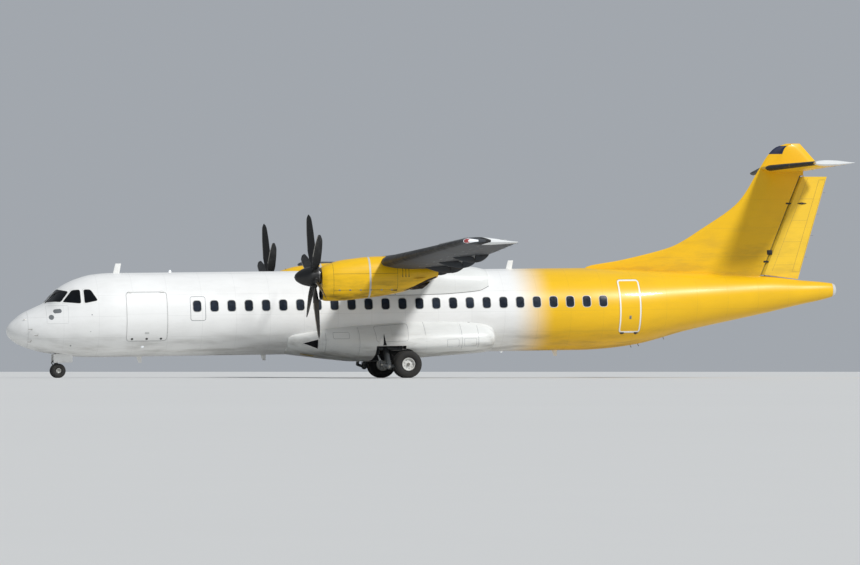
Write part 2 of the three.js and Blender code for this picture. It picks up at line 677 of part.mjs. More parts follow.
// Ring of a blade section: the leading edge faces the turn and forward.
function bladeRing([radius, chord, thick, pitch]) {
  const angle = THREE.MathUtils.degToRad(pitch);
  const [c, s] = [Math.cos(angle), Math.sin(angle)];
  const shape = [[-0.5, 0], [-0.1, 0.46], [0.32, 0.42], [0.5, 0], [0.32, -0.34], [-0.1, -0.3]];
  return shape.map(([along, across]) => {
    const [u, v] = [along * chord, across * thick];
    return [-u * s - v * c, u * c - v * s, radius];
  });
}

function addPropellers() {
  for (const side of [-1, 1]) {
    const label = side < 0 ? "left" : "right";
    const y = side * ENGINE_Y;
    const pivot = addPivot(`propeller_${label}_pivot`, [PROPELLER.x, y, PROPELLER.z],
      [PROPELLER.x + 1000, y, shaftHeight(PROPELLER.x + 1000)]);
    let spinner = turnedSolid(SPINNER.map(([r, ahead]) => [r, -ahead]).reverse(), 18);
    const blades = [];
    for (let i = 0; i < 6; i++) {
      const turn = new THREE.Matrix4().makeRotationX(-THREE.MathUtils.degToRad(60 * i + PROPELLER.phase));
      const toPivot = new THREE.Matrix4().makeRotationZ(Math.PI / 2).multiply(turn);
      const socket = barSolid([0, 0, BLADE_ROOT.start], [0, 0, 500], BLADE_ROOT.radius + SEAT, 8);
      spinner = cut(spinner, socket.transform(toPivot.toArray()));
      const shank = barSolid([0, 0, BLADE_ROOT.start + SEAT], [0, 0, BLADE_ROOT.shank], BLADE_ROOT.radius, 8);
      const foil = toSolid(loft([bladeRing([BLADE_ROOT.shank - 20, 110, 100, 66]), ...BLADE.map(bladeRing)]));
      blades.push(join(shank, foil).transform(toPivot.toArray()));
    }
    addMesh(`spinner_${label}`, spinner, bootBlack, pivot);
    blades.forEach((blade, i) => addMesh(`blade_${label}_${i + 1}`, blade, bootBlack, pivot));
  }
}

// Fin: height, leading edge, half thickness at the rudder hinge.
const FIN = [
  [700, 18300, 200],
  [1360, 18770, 190],
  [1560, 19900, 185],
  [1910, 21400, 178],
  [2020, 21720, 176],
  [2485, 22540, 165],
  [3446, 23930, 142],
  [4480, 24627, 118],
  [4930, 24930, 105],
  [5180, 25190, 90],
  [5310, 25560, 60],
];
const FIN_PLAIN = { z: 3446, x: 23930, slope: 0.674 };
const RUDDER_HINGE = { z: 1000, x: 24750, slope: 0.4242 };
const RUDDER_TRAIL = { z: 904, x: 25888, slope: 0.3125 };
const RUDDER = { top: 4262, under: 40, over: 28, lip: 100, nose: [202, 100], around: 16 };
const CAP_TRAIL = { z: 4500, x: 26750, slope: -0.9 };
const TAIL_Z = 4500;

const onLine = (line, z) => line.x + (z - line.z) * line.slope;

// Ring of the fin or rudder at a height, from one station of its outline to another.
function finRing(z, lead, half) {
  const plain = Math.max(lead, onLine(FIN_PLAIN, z));
  const trail = Math.min(onLine(RUDDER_TRAIL, z), onLine(CAP_TRAIL, z));
  const hinge = Math.min(onLine(RUDDER_HINGE, z), trail - 300);
  const nose = Math.min(45, half);
  const at = (t) => plain + t * (hinge - plain);
  const side = [
    [lead, 0], [lead + 60, 0.55 * nose], [lead + 0.5 * (plain - lead) + 160, nose],
    [at(0.1) + 180, 0.62 * half], [at(0.35) + 100, 1.05 * half], [at(0.62), 1.1 * half],
    [hinge, 0.92 * half], [trail, 7],
  ];
  return [...side.map(([x, y]) => [x, y, z]), ...side.slice(1).reverse().map(([x, y]) => [x, -y, z])];
}

const finProfile = () => toSolid(loft(FIN.map(([z, lead, half]) => finRing(z, lead, half))));

// Height at which the rudder's hinge line meets the fuselage skin.
function hingeFoot() {
  let z = RUDDER_HINGE.z;
  for (let i = 0; i < 5; i++) z = interpolate(FUSELAGE, onLine(RUDDER_HINGE, z))[1];
  return z;
}

function addFin() {
  const hull = fuselageSolid(17000, LENGTH, SEAT);
  const full = finProfile();
  const foot = hingeFoot();
  const low = [onLine(RUDDER_HINGE, foot), 0, foot];
  const high = [onLine(RUDDER_HINGE, RUDDER.top), 0, RUDDER.top];
  const pivot = addPivot("rudder_pivot", low, high);
  const length = Math.hypot(...low.map((value, k) => high[k] - value));
  const below = (z) => boxSolid(20000, 29000, -900, 900, -500, z);
  const space = (lip, grow) => fromPivot(pivot,
    surfaceSpace(-800, length + 800, lip, RUDDER.nose.map((radius) => radius + grow)));
  const bay = space(RUDDER.lip, RUDDER.around).intersect(below(RUDDER.top));
  const capRear = tailSlab(-600, 600, TAIL_CUT).intersect(below(TAIL_Z));
  addMesh("fin", cut(full, hull, bay, tailplaneSolid(SEAT), capRear), yellow);
  const moving = space(0, 0).intersect(below(RUDDER.top - RUDDER.under));
  const deck = [24000, 24750, 25890, 26500].map((x) => [x, interpolate(FUSELAGE, x)[1] + RUDDER.over]);
  const blade = cut(full.intersect(moving), plateSolid([[24000, 0], ...deck, [26500, 0]], -600, 600));
  addMesh("rudder", join(inPivot(pivot, blade), pinSolid(2 * SEAT, length - SEAT, 16)), yellow, pivot);
}

// Tailplane: half span, leading edge, trailing edge.
const TAIL = { half: 3655, rootLead: 24670, tipLead: 25400, trail: 26770, tipTrail: 26700 };
const TAIL_CUT = 0.66;
const ELEVATOR = { inner: 450, outer: 3480, lip: 40, nose: [78, 54], slant: { from: 60, slope: 0.7 } };

function tailRing(y, grow = 0, scale = 1) {
  const t = Math.abs(y) / TAIL.half;
  const lead = TAIL.rootLead + t * (TAIL.tipLead - TAIL.rootLead);
  const chord = TAIL.trail + t * (TAIL.tipTrail - TAIL.trail) - lead;
  const shape = [[0, 0], [0.02, 0.026], [0.1, 0.05], [0.3, 0.066], [0.55, 0.058], [0.8, 0.03], [1, 0.003]];
  const upper = shape.map(([share, up]) => [share, up * scale]);
  const lower = upper.slice(1).reverse().map(([share, up]) => [share, -up]);
  return [...upper, ...lower].map(([share, up], i) => [
    lead + share * chord + grow * (2 * share - 1),
    y,
    TAIL_Z + up * chord + Math.sign(up) * grow,
  ]);
}

function tailplaneSolid(grow = 0) {
  const spans = [-TAIL.half, -TAIL.half + 120, 0, TAIL.half - 120, TAIL.half];
  return toSolid(loft(spans.map((y, i) => tailRing(y, grow, i === 0 || i === 4 ? 0.5 : 1))));
}

function tailHinge(y) {
  const t = Math.abs(y) / TAIL.half;
  const lead = TAIL.rootLead + t * (TAIL.tipLead - TAIL.rootLead);
  const chord = TAIL.trail + t * (TAIL.tipTrail - TAIL.trail) - lead;
  return lead + (TAIL_CUT + 0.04) * chord;
}

// Slab behind a share of the tailplane's chord.
function tailSlab(y0, y1, share) {
  const rings = [y0, y1].map((y) => {
    const t = Math.abs(y) / TAIL.half;
    const lead = TAIL.rootLead + t * (TAIL.tipLead - TAIL.rootLead);
    const chord = TAIL.trail + t * (TAIL.tipTrail - TAIL.trail) - lead;
    const x = lead + share * chord;
    return [[x, TAIL_Z - 300], [27600, TAIL_Z - 300], [27600, TAIL_Z + 300], [x, TAIL_Z + 300]].map(
      ([px, z]) => [px, y, z]);
  });
  return toSolid(loft(rings));
}

function addTailplane() {
  let fixed = tailplaneSolid();
  for (const side of [-1, 1]) {
    const label = side < 0 ? "left" : "right";
    const [inner, outer] = [side * ELEVATOR.inner, side * ELEVATOR.outer];
    const [near, far] = [[tailHinge(inner), inner, TAIL_Z], [tailHinge(outer), outer, TAIL_Z]];
    const pivot = addPivot(`elevator_${label}_pivot`, near, side < 0 ? mirrorThrough(near, far) : far);
    const length = Math.hypot(tailHinge(outer) - tailHinge(inner), outer - inner);
    const bay = surfaceSpace(0, side * length, ELEVATOR.lip, ELEVATOR.nose.map((r) => r + RUNNING + 2));
    const space = surfaceSpace(side * RUNNING, side * (length - RUNNING), 0, ELEVATOR.nose);
    const { from, slope } = ELEVATOR.slant;
    const outline = [[from, -50], [from + 2000, -50], [from + 2000, 2000 * slope - 50]];
    const slant = new THREE.Shape(outline.map(([x, y]) => new THREE.Vector2(x, y)));
    const corner = new THREE.ExtrudeGeometry(slant, { depth: 1000, bevelEnabled: false });
    corner.translate(0, 0, -500);
    if (side < 0) corner.scale(1, -1, 1);
    const body = cut(inPivot(pivot, tailplaneSolid()).intersect(space), toSolid(corner));
    addMesh(`elevator_${label}`, join(body, pinSolid(side * SEAT, side * (length - SEAT), 12)), white, pivot);
    fixed = cut(fixed, fromPivot(pivot, bay));
  }
  const rear = tailSlab(-ELEVATOR.inner, ELEVATOR.inner, TAIL_CUT + 0.09);
  addMesh("tailplane", cut(fixed, rear), white);
}

// Wheels. The tyre's profile is radius share and half-width share; it closes on itself.
const TYRE = [[0, 0.62], [0.4, 1], [0.84, 0.86], [1, 0.45]];

function tyreSolid(wheel, sides) {
  const span = wheel.radius - wheel.rim;
  const upper = TYRE.map(([share, wide]) => [wheel.rim + span * share, (wide * wheel.width) / 2]);
  const lower = upper.slice().reverse().map(([r, y]) => [r, -y]);
  return turnedSolid([...lower, ...upper, lower[0]], sides);
}

// Both rims of a pair on their common axle, turned in one piece.
function hubSolid(wheel, sides) {
  const rim = wheel.rim - SEAT;
  const [outer, inner] = [wheel.twin + 0.42 * wheel.width, wheel.twin - 0.38 * wheel.width];
  const half = [[0, outer - 12], [0.3 * rim, outer - 12], [0.86 * rim, outer - 44], [0.9 * rim, outer],
    [rim, outer], [rim, inner], [axleRadius(wheel), inner + 25]];
  const port = half.map(([r, y]) => [r, -y]);
  return turnedSolid([...port, ...half.slice().reverse()], sides);
}

const axleRadius = (wheel) => 0.17 * wheel.rim + 12;

// Eye of a leg around the axle, in place, with the bore the axle turns in.
function axleEye(wheel, y, half, radius) {
  const place = (reach) => [[wheel.x, y - reach, wheel.z], [wheel.x, y + reach, wheel.z]];
  const sides = 16;
  const boreRadius = (axleRadius(wheel) + SEAT) / Math.cos(Math.PI / sides);
  const boss = barSolid(...place(half), radius, sides);
  return { boss, bore: barSolid(...place(half + 20), boreRadius, sides) };
}

function addWheelPair(wheel, nodes, sides, pivot) {
  [-1, 1].forEach((edge, i) => {
    addMesh(nodes.tyres[i], tyreSolid(wheel, sides).translate([0, edge * wheel.twin, 0]), tyreBlack, pivot);
  });
  addMesh(nodes.hub, hubSolid(wheel, sides), hubWhite, pivot);
}

// Main leg, for the starboard side: bars from one point to another with a radius at each end,
// and the blocks that hang its top tube in the bay.
const MAIN_LEG = {
  y: 1450, z: MAIN_BAY.top - 70, eyeHalf: 48, eyeRadius: 80,
  blocks: [[11470, 11560], [12260, 12350]],
  bars: [
    [11480, 1450, -1180, 12350, 1450, -1180, 65, 65],
    [11810, 1450, -1180, 11810, 2050, -1760, 80, 80],
    [11790, 2050, -1755, 12350, 2050, -1692, 55, 48],
    [11810, 2002, -1760, 11810, 2098, -1760, 85, 85],
    [11540, 1480, -1180, 11580, 2000, -1690, 52, 52],
    [11560, 1960, -1680, 11810, 2050, -1760, 45, 45],
  ],
};

function addMainGear() {
  const wheel = MAIN_WHEEL;
  for (const side of [-1, 1]) {
    const label = side < 0 ? "left" : "right";
    const y = side * wheel.y;
    const eye = axleEye(wheel, y, MAIN_LEG.eyeHalf, MAIN_LEG.eyeRadius);
    const blocks = MAIN_LEG.blocks.map(([x0, x1]) => boxSolid(
      x0, x1, side * MAIN_LEG.y - 70, side * MAIN_LEG.y + 70, MAIN_LEG.z, MAIN_BAY.top - SEAT));
    const bars = MAIN_LEG.bars.map(([x0, y0, z0, x1, y1, z1, radius, endRadius]) => barSolid(
      [x0, side * y0, z0], [x1, side * y1, z1], radius, 12, endRadius));
    addMesh(`main_leg_${label}`, cut(join(eye.boss, ...bars, ...blocks), eye.bore), gearGrey);
    const pivot = addPivot(`main_wheels_${label}_pivot`, [wheel.x, y, wheel.z], [wheel.x, y + 1000, wheel.z]);
    const places = side < 0 ? ["outer", "inner"] : ["inner", "outer"];
    const tyres = places.map((place) => `main_tyre_${label}_${place}`);
    addWheelPair(wheel, { tyres, hub: `main_hubs_${label}` }, 20, pivot);
  }
}

// Nose gear: the fixed leg in its bay, the steered fork on the same line and the wheels.
const NOSE_LEG = { x: 1570, low: -1330, radius: 62, fork: 46 };
const TOW_LUG = { reach: 90, half: 32, low: -1552, high: -1488 };

function addNoseGear() {
  const wheel = NOSE_WHEEL;
  const { x, low, radius, fork } = NOSE_LEG;
  const leg = join(
    barSolid([x, 0, low], [x, 0, NOSE_BAY.top - SEAT], radius, 16),
    barSolid([x + 10, 0, -1150], [2000, 0, NOSE_BAY.top - 60], 34),
    boxSolid(1940, 2050 - SEAT, -60, 60, NOSE_BAY.top - 130, NOSE_BAY.top - SEAT),
    barSolid([x, -NOSE_BAY.half + SEAT, -960], [x, NOSE_BAY.half - SEAT, -960], 40),
  );
  addMesh("nose_leg", leg, gearGrey);
  const steer = addPivot("nose_steering_pivot", [x, 0, low], [x, 0, low - 1000]);
  const eye = axleEye(wheel, 0, 62, 62);
  const pieces = [
    barSolid([x, 0, low - SEAT], [x, 0, low - 40], 70, 16),
    barSolid([x, 0, low - 20], [x, 0, wheel.z + 20], fork, 16),
    barSolid([x, 0, wheel.z], [wheel.x, 0, wheel.z], 50, 12),
    boxSolid(x - TOW_LUG.reach, x, -TOW_LUG.half, TOW_LUG.half, TOW_LUG.low, TOW_LUG.high),
  ];
  addMesh("nose_fork", inPivot(steer, cut(join(eye.boss, ...pieces), eye.bore)), gearGrey, steer);
  const pivot = addPivot("nose_wheels_pivot", [wheel.x, 0, wheel.z], [wheel.x, 1000, wheel.z]);
  addWheelPair(wheel, { tyres: ["nose_tyre_left", "nose_tyre_right"], hub: "nose_hubs" }, 16, pivot);
  addNoseDoors();
}

// Doors that hang open on both sides of the nose wheel bay, each on two arms to the skin.
const NOSE_DOOR = { off: 32, thick: 18, low: -1475, high: -1215, armHalf: 20, armIn: 120 };

function addNoseDoors() {
  const { x0, x1, half } = NOSE_BAY;
  const { off, thick, low, high, armHalf, armIn } = NOSE_DOOR;
  const span = (side, from, to) => (side > 0 ? [from, to] : [-to, -from]);
  for (const side of [-1, 1]) {
    const panel = boxSolid(x0 + 10, x1 - 10, ...span(side, half + off, half + off + thick), low, high);
    const arms = [x0 + armIn, x1 - armIn].map((x) => boxSolid(
      x - armHalf, x + armHalf, ...span(side, half - 30, half + off + thick / 2), -1320, -1180));
    const skin = fuselageSolid(1000, 2600, SEAT);
    const body = cut(join(panel, ...arms), skin);
    const largest = body.decompose().sort((a, b) => b.volume() - a.volume())[0];
    addMesh(`nose_gear_door_${side < 0 ? "left" : "right"}`, largest, white);
  }
}

addFuselage();
addBellyFairing();
addWing();
addRootFairing();
addNacelles();
addPropellers();
addFin();
addTailplane();
addMainGear();
addNoseGear();

// Parking stance, then the origin at the bottom centre of the box
const aircraft = new THREE.Group();
airframe.rotation.y = -STANCE;
aircraft.add(airframe);
aircraft.updateMatrixWorld(true);
const box = new THREE.Box3().setFromObject(aircraft, true);
aircraft.position.set(-(box.min.x + box.max.x) / 2, -(box.min.y + box.max.y) / 2, -box.min.z);
aircraft.updateMatrixWorld(true);

export default aircraft;
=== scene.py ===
"""Looks of a parked twin turboprop airliner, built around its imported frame.

Places are given in the airframe's own frame, in metres: X runs aft from the tip of the nose, Y to
starboard and Z up from the axis of the fuselage. Stance turns them into the frame of the object.
"""
import sys

import logging
import math
from collections.abc import Callable
from dataclasses import dataclass, replace
from enum import Enum
from functools import cache

import bpy
import numpy as np
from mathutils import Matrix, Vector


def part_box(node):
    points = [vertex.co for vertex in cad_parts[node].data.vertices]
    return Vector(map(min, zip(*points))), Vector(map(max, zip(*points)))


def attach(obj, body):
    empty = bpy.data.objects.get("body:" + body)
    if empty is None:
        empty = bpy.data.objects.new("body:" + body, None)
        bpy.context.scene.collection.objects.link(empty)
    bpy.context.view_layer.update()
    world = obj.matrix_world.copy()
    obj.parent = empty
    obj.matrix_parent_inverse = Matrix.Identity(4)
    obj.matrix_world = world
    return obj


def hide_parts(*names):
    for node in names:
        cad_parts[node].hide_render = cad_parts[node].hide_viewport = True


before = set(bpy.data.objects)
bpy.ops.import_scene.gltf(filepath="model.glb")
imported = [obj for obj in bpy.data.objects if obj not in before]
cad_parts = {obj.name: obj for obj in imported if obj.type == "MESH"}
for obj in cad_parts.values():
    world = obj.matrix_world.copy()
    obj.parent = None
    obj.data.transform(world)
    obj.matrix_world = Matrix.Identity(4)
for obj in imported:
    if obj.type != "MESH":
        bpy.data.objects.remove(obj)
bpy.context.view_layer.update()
log = logging.getLogger("airliner")
Array = np.ndarray
Pair = tuple[float, float]
SIDES = {"left": -1, "right": 1}
GAP = 0.006
SHARP = math.radians(32.0)
BOOT_LIFT = 0.004
BOOT_DEPTH = 0.006
WICK_RADIUS = 0.003
WICK = np.array([[-0.01, 0, 0], [0.05, 0, 0], [0.10, 0, 0]])
DROOPED_WICK = np.array([[0, 0, 0], [0.05, 0, -0.002], [0.11, 0, -0.006]])


def pitched(angle: float) -> Array:
    """Matrix of a turn about Y that lifts what lies aft."""
    c, s = math.cos(angle), math.sin(angle)
    return np.array([[c, 0, -s], [0, 1, 0], [s, 0, c]])


@dataclass(frozen=True)
class Stance:
    """Pitch of the airframe as it parks, and where its origin stands in the object's frame."""

    pitch: float = math.radians(0.9)
    wheel: Pair = (1.6, -1.728)

    @property
    def turn(self) -> Array:
        """Matrix whose columns are the airframe's axes in the object's frame."""
        return pitched(self.pitch)

    @property
    def shift(self) -> Array:
        """Place of the airframe's origin, found from the middle of a nose tyre."""
        low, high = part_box("nose_tyre_left")
        middle = (np.array(low) + np.array(high)) / 2
        place = middle - self.turn @ np.array([self.wheel[0], middle[1], self.wheel[1]])
        return np.array([place[0], 0.0, place[2]])


TURN = Stance().turn
SHIFT = Stance().shift


class Carve(Enum):
    """What a carving tool leaves of a solid."""

    CUT = "DIFFERENCE"
    MEET = "INTERSECT"
    JOIN = "UNION"


class Mark(Enum):
    """Which of a piece's materials a face takes."""

    OUTER = 0
    INNER = 1


@dataclass
class Skin:
    """A surface as points with triangles, four-sided faces and the material mark of each."""

    points: Array
    tris: Array
    quads: Array
    tri_marks: Array
    quad_marks: Array

    @staticmethod
    def of(points: Array, tris: Array | None = None, quads: Array | None = None,
           mark: Mark = Mark.OUTER) -> "Skin":
        """Makes a surface whose faces all take one mark."""
        tris = np.zeros((0, 3), int) if tris is None else tris
        quads = np.zeros((0, 4), int) if quads is None else quads
        return Skin(points, tris, quads, np.full(len(tris), mark.value), np.full(len(quads), mark.value))

    def outward(self) -> "Skin":
        """The same closed surface with its faces turned outwards.

        The volume has the sign of the sum of the triple products of each triangle's corners.
        """
        split = [self.tris, self.quads[:, [0, 1, 2]], self.quads[:, [0, 2, 3]]]
        a, b, c = np.moveaxis(self.points[np.vstack(split)], 1, 0)
        if np.einsum("ij,ij->i", a, np.cross(b, c)).sum() >= 0:
            return self
        return replace(self, tris=self.tris[:, ::-1], quads=self.quads[:, ::-1])

    def moved(self, by: tuple[float, float, float] | Array) -> "Skin":
        """The surface moved by a vector."""
        return replace(self, points=self.points + np.asarray(by))

    def turned(self, matrix: Array) -> "Skin":
        """The surface turned by a matrix about the origin."""
        return replace(self, points=self.points @ matrix.T)


def merged(skins: list[Skin]) -> Skin:
    """Puts several surfaces into one, without joining their points."""
    starts = np.cumsum([0] + [len(s.points) for s in skins[:-1]])
    return Skin(
        np.vstack([s.points for s in skins]),
        np.vstack([s.tris + k for s, k in zip(skins, starts)]),
        np.vstack([s.quads + k for s, k in zip(skins, starts)]),
        np.concatenate([s.tri_marks for s in skins]),
        np.concatenate([s.quad_marks for s in skins]),
    )


def joined(*columns: Array | float) -> Array:
    """Points from their coordinates, each an array or a single value for all of them."""
    return np.stack(np.broadcast_arrays(*columns), -1).astype(float)


def circle(count: int) -> Array:
    """Points of a circle of radius one, from its first axis round."""
    angle = np.linspace(0, 2 * np.pi, count, endpoint=False)
    return joined(np.cos(angle), np.sin(angle))


def wrapped(rows: int, cols: int) -> Array:
    """Four-sided faces between the rows of a grid whose last column joins its first."""
    i = np.arange(rows - 1)[:, None] * cols
    j = np.arange(cols)[None]
    k = (j + 1) % cols
    return np.stack([i + j, i + k, i + cols + k, i + cols + j], -1).reshape(-1, 4)


def loft(rings: Array | list, mark: Mark = Mark.OUTER) -> Skin:
    """A closed solid over rings, each end a fan about the middle of its ring."""
    rings = np.asarray(rings, float)
    rows, cols = rings.shape[:2]
    j = np.arange(cols)
    k = (j + 1) % cols
    hub = np.full(cols, rows * cols)
    last = (rows - 1) * cols
    tris = np.vstack([np.stack([hub, k, j], -1), np.stack([hub + 1, last + j, last + k], -1)])
    points = np.vstack([rings.reshape(-1, 3), rings[[0, -1]].mean(axis=1)])
    return Skin.of(points, tris, wrapped(rows, cols), mark).outward()


def hoop(rings: Array) -> Skin:
    """A closed hoop over rings, whose last ring joins its first."""
    rows, cols = rings.shape[:2]
    return Skin.of(rings.reshape(-1, 3), quads=wrapped(rows + 1, cols) % (rows * cols)).outward()


def rectangle(x: Pair | list, z: Pair) -> Array:
    """The four corners of an upright rectangle."""
    return np.array([[x[0], z[0]], [x[1], z[0]], [x[1], z[1]], [x[0], z[1]]])


def box(x: Pair, y: Pair, z: Pair, mark: Mark = Mark.OUTER) -> Skin:
    """A box between pairs of planes; those across the airframe come in any order."""
    corners = rectangle(sorted(y), z)
    return loft([joined(at, *corners.T) for at in x], mark)


def plate(outline: Array | list | tuple, y: Pair, mark: Mark = Mark.OUTER) -> Skin:
    """A flat outline in X and Z, as thick as the span between two values of Y in any order."""
    x, z = np.asarray(outline, float).T
    return loft([joined(x, at, z) for at in sorted(y)], mark)


def space_behind(line: list, end: float, below: float, above: float) -> Skin:
    """Space from a line aft to a station, between two distances below and above the line."""
    rings = [[[x, y, z - below], [end, y, z - below], [end, y, z + above], [x, y, z + above]]
             for x, y, z in line]
    return loft(rings, Mark.INNER)


def square_to(direction: Array) -> Array:
    """A unit vector square to a direction."""
    along = direction / np.linalg.norm(direction)
    helper = np.array([0.0, 0, 1]) if abs(along[2]) < 0.9 else np.array([1.0, 0, 0])
    first = np.cross(along, helper)
    return first / np.linalg.norm(first)


def tube(path: Array | list, radius: float | Array | list, sides: int = 16) -> Skin:
    """A closed round tube: a circle carried along a path, turned square to it at each point."""
    path = np.asarray(path, float)
    radii = np.broadcast_to(radius, len(path))[:, None, None]
    along = np.gradient(path, axis=0)
    along /= np.linalg.norm(along, axis=1, keepdims=True)
    first = square_to(path[-1] - path[0])
    a = first - along * (along @ first)[:, None]
    a /= np.linalg.norm(a, axis=1, keepdims=True)
    b = np.cross(along, a)
    c, s = circle(sides).T[:, None, :, None]
    return loft(path[:, None] + radii * (c * a[:, None] + s * b[:, None]))


def rod(start: tuple | Array, end: tuple | Array, radius: float | list, sides: int = 16) -> Skin:
    """A straight tube between two points, with a ring at its middle."""
    return tube(np.linspace(start, end, 3), radius, sides)


def bar(start: tuple | Array, end: tuple | Array, radius: float, end_radius: float | None = None) -> Skin:
    """A round bar between two points, chamfered at both ends.

    Args:
        start: The middle of the first end.
        end: The middle of the other end.
        radius: The radius at the first end.
        end_radius: The radius at the other end, where it differs.

    Returns:
        The closed bar.
    """
    start, end = np.array(start, float), np.array(end, float)
    last = radius if end_radius is None else end_radius
    edge = 0.12 * min(radius, last)
    share = np.array([0.0, edge / np.linalg.norm(end - start)])
    share = np.concatenate([share, 1 - share[::-1]])
    radii = radius + (last - radius) * share - np.array([edge, 0, 0, edge])
    return tube(start + share[:, None] * (end - start), radii, 32)


def turned(profile: list | Array, axis: str = "y", sides: int = 48) -> Skin:
    """A closed solid of revolution: each radius of a profile swept round an axis at its height.

    Args:
        profile: Pairs of radius and height along the axis, from one end to the other.
        axis: "x" or "y".
        sides: Number of steps round the axis.

    Returns:
        The solid, centred on the axis.
    """
    r, h = np.asarray(profile, float).T[..., None]
    c, s = circle(sides).T
    return loft(joined(h, r * c, r * s) if axis == "x" else joined(r * c, h, r * s))


def ring_solid(profile: list | Array, sides: int) -> Skin:
    """A closed ring: a closed outline of radius and height swept round the Y axis."""
    r, h = np.asarray(profile, float).T[..., None]
    c, s = circle(sides).T
    return hoop(joined(r * c, h, r * s))


def boot(points: Array, centre: Array, ends: Array, sunk: float = 0.003) -> Skin:
    """A thin rubber boot over rows of points.

    Args:
        points: Rows of points round a leading edge.
        centre: Where each row is lifted away from.
        ends: Which points of a row are its edges.
        sunk: How deep the edges lie in the skin.

    Returns:
        The closed boot.
    """
    out = points - centre
    out /= np.linalg.norm(out, axis=-1, keepdims=True)
    lift = np.where(ends, -sunk, BOOT_LIFT)[:, None]
    return loft(np.concatenate([points + out * lift, (points - out * BOOT_DEPTH)[:, ::-1]], axis=1))


def to_mesh(name: str, skin: Skin) -> bpy.types.Mesh:
    """Puts a surface into a new mesh, in the object's frame, with its marks as material indices."""
    mesh = bpy.data.meshes.new(name)
    points = skin.points @ TURN.T + SHIFT
    mesh.from_pydata(points.tolist(), [], skin.quads.tolist() + skin.tris.tolist())
    marks = np.concatenate([skin.quad_marks, skin.tri_marks])
    mesh.polygons.foreach_set("material_index", marks.astype(np.int32))
    return mesh


def field(items: bpy.types.bpy_prop_collection, name: str, width: int, kind: type) -> Array:
    """One field of every item of a mesh, as rows."""
    values = np.zeros(width * len(items), kind)
    items.foreach_get(name, values)
    return values.reshape(-1, width)


def carve(base: Skin, tools: list[Skin], how: Carve = Carve.CUT) -> Skin:
    """Cuts, meets or joins a closed solid with closed tools.

    Args:
        base: The solid to work on.
        tools: The solids that cut it, one after another.
        how: What is left.

    Returns:
        The result, whose new faces keep the marks of the tool that made them.
    """
    objects = []
    for i, skin in enumerate([base, *tools]):
        mesh = to_mesh(f"carve_{i}", skin)
        for mark in Mark:
            name = f"mark_{mark.value}"
            mesh.materials.append(bpy.data.materials.get(name) or bpy.data.materials.new(name))
        thing = bpy.data.objects.new(f"carve_{i}", mesh)
        bpy.context.scene.collection.objects.link(thing)
        objects.append(thing)
    for tool in objects[1:]:
        step = objects[0].modifiers.new(tool.name, "BOOLEAN")
        step.operation, step.solver, step.object = how.value, "MANIFOLD", tool
    graph = bpy.context.evaluated_depsgraph_get()
    result = bpy.data.meshes.new_from_object(objects[0].evaluated_get(graph))
    result.calc_loop_triangles()
    points = field(result.vertices, "co", 3, float)
    tris = field(result.loop_triangles, "vertices", 3, np.int32)
    marks = field(result.loop_triangles, "material_index", 1, np.int32)[:, 0]
    for mesh in [thing.data for thing in objects] + [result]:
        bpy.data.meshes.remove(mesh)
    if not len(tris):
        raise ValueError("a carving step left nothing")
    return Skin((points - SHIFT) @ TURN, tris, np.zeros((0, 4), int), marks, np.zeros(0, int))


def smooth(table: Array, at: Array | float, power: float = 1.0) -> Array:
    """Rows of a table at new stations.

    Each column is a cubic between rows. Its slope at a row is the harmonic mean of the slopes on
    both sides, or zero where they differ in sign, so it never overshoots a value.

    Args:
        table: Rows of a station and its values.
        at: Stations to read, of any shape.
        power: The station is raised to this power first, which rounds a blunt nose.

    Returns:
        The values, in one more dimension than the stations.
    """
    u = table[:, 0] ** power
    x = np.clip(np.asarray(at, float), table[0, 0], table[-1, 0]) ** power
    step = np.diff(u)
    slope = np.diff(table[:, 1:], axis=0) / step[:, None]
    before, after = slope[:-1], slope[1:]
    same = before * after > 0
    mean = np.where(same, 2 * before * after / np.where(same, before + after, 1), 0)
    tangent = np.vstack([slope[:1], mean, slope[-1:]])
    i = np.clip(np.searchsorted(u, x, side="right") - 1, 0, len(u) - 2)
    h = step[i][..., None]
    t = ((x - u[i]) / step[i])[..., None]
    start, end = table[i, 1:], table[i + 1, 1:]
    return ((2 * t**3 - 3 * t**2 + 1) * start + (t**3 - 2 * t**2 + t) * h * tangent[i]
            + (3 * t**2 - 2 * t**3) * end + (t**3 - t**2) * h * tangent[i + 1])


def section(count: int, power: float) -> tuple[Array, Array]:
    """Shares of the chord round a section, from the nose over its top and back, and which are upper."""
    share = np.linspace(0, 1, count) ** power
    return np.concatenate([share, share[:0:-1]]), np.arange(2 * count - 1) < count


def signed_power(values: Array, power: Array | float) -> Array:
    """Values raised to a power, with their signs kept."""
    return np.sign(values) * np.abs(values) ** power


def rounded(corners: list | tuple | Array, radius: float, steps: int = 6) -> Array:
    """A closed outline with each corner replaced by a parabola between two points near it."""
    c = np.asarray(corners, float)
    before, after = np.roll(c, 1, axis=0) - c, np.roll(c, -1, axis=0) - c
    a = c + radius * before / np.linalg.norm(before, axis=1, keepdims=True)
    b = c + radius * after / np.linalg.norm(after, axis=1, keepdims=True)
    t = np.linspace(0, 1, steps)[:, None]
    curves = (1 - t) ** 2 * a[:, None] + 2 * t * (1 - t) * c[:, None] + t**2 * b[:, None]
    return curves.reshape(-1, 2)


def panel(x: Pair, z: Pair, radius: float, steps: int = 6) -> Array:
    """The outline of a rectangle with rounded corners."""
    return rounded(rectangle(x, z), radius, steps)


def dense(outline: Array, step: float = 0.05) -> Array:
    """A closed outline with points added so that none are further apart than a step."""
    ahead = np.roll(outline, -1, axis=0)
    counts = np.maximum(1, np.ceil(np.linalg.norm(ahead - outline, axis=1) / step)).astype(int)
    parts = [a + (b - a) * (np.arange(n)[:, None] / n) for a, b, n in zip(outline, ahead, counts)]
    return np.vstack(parts)


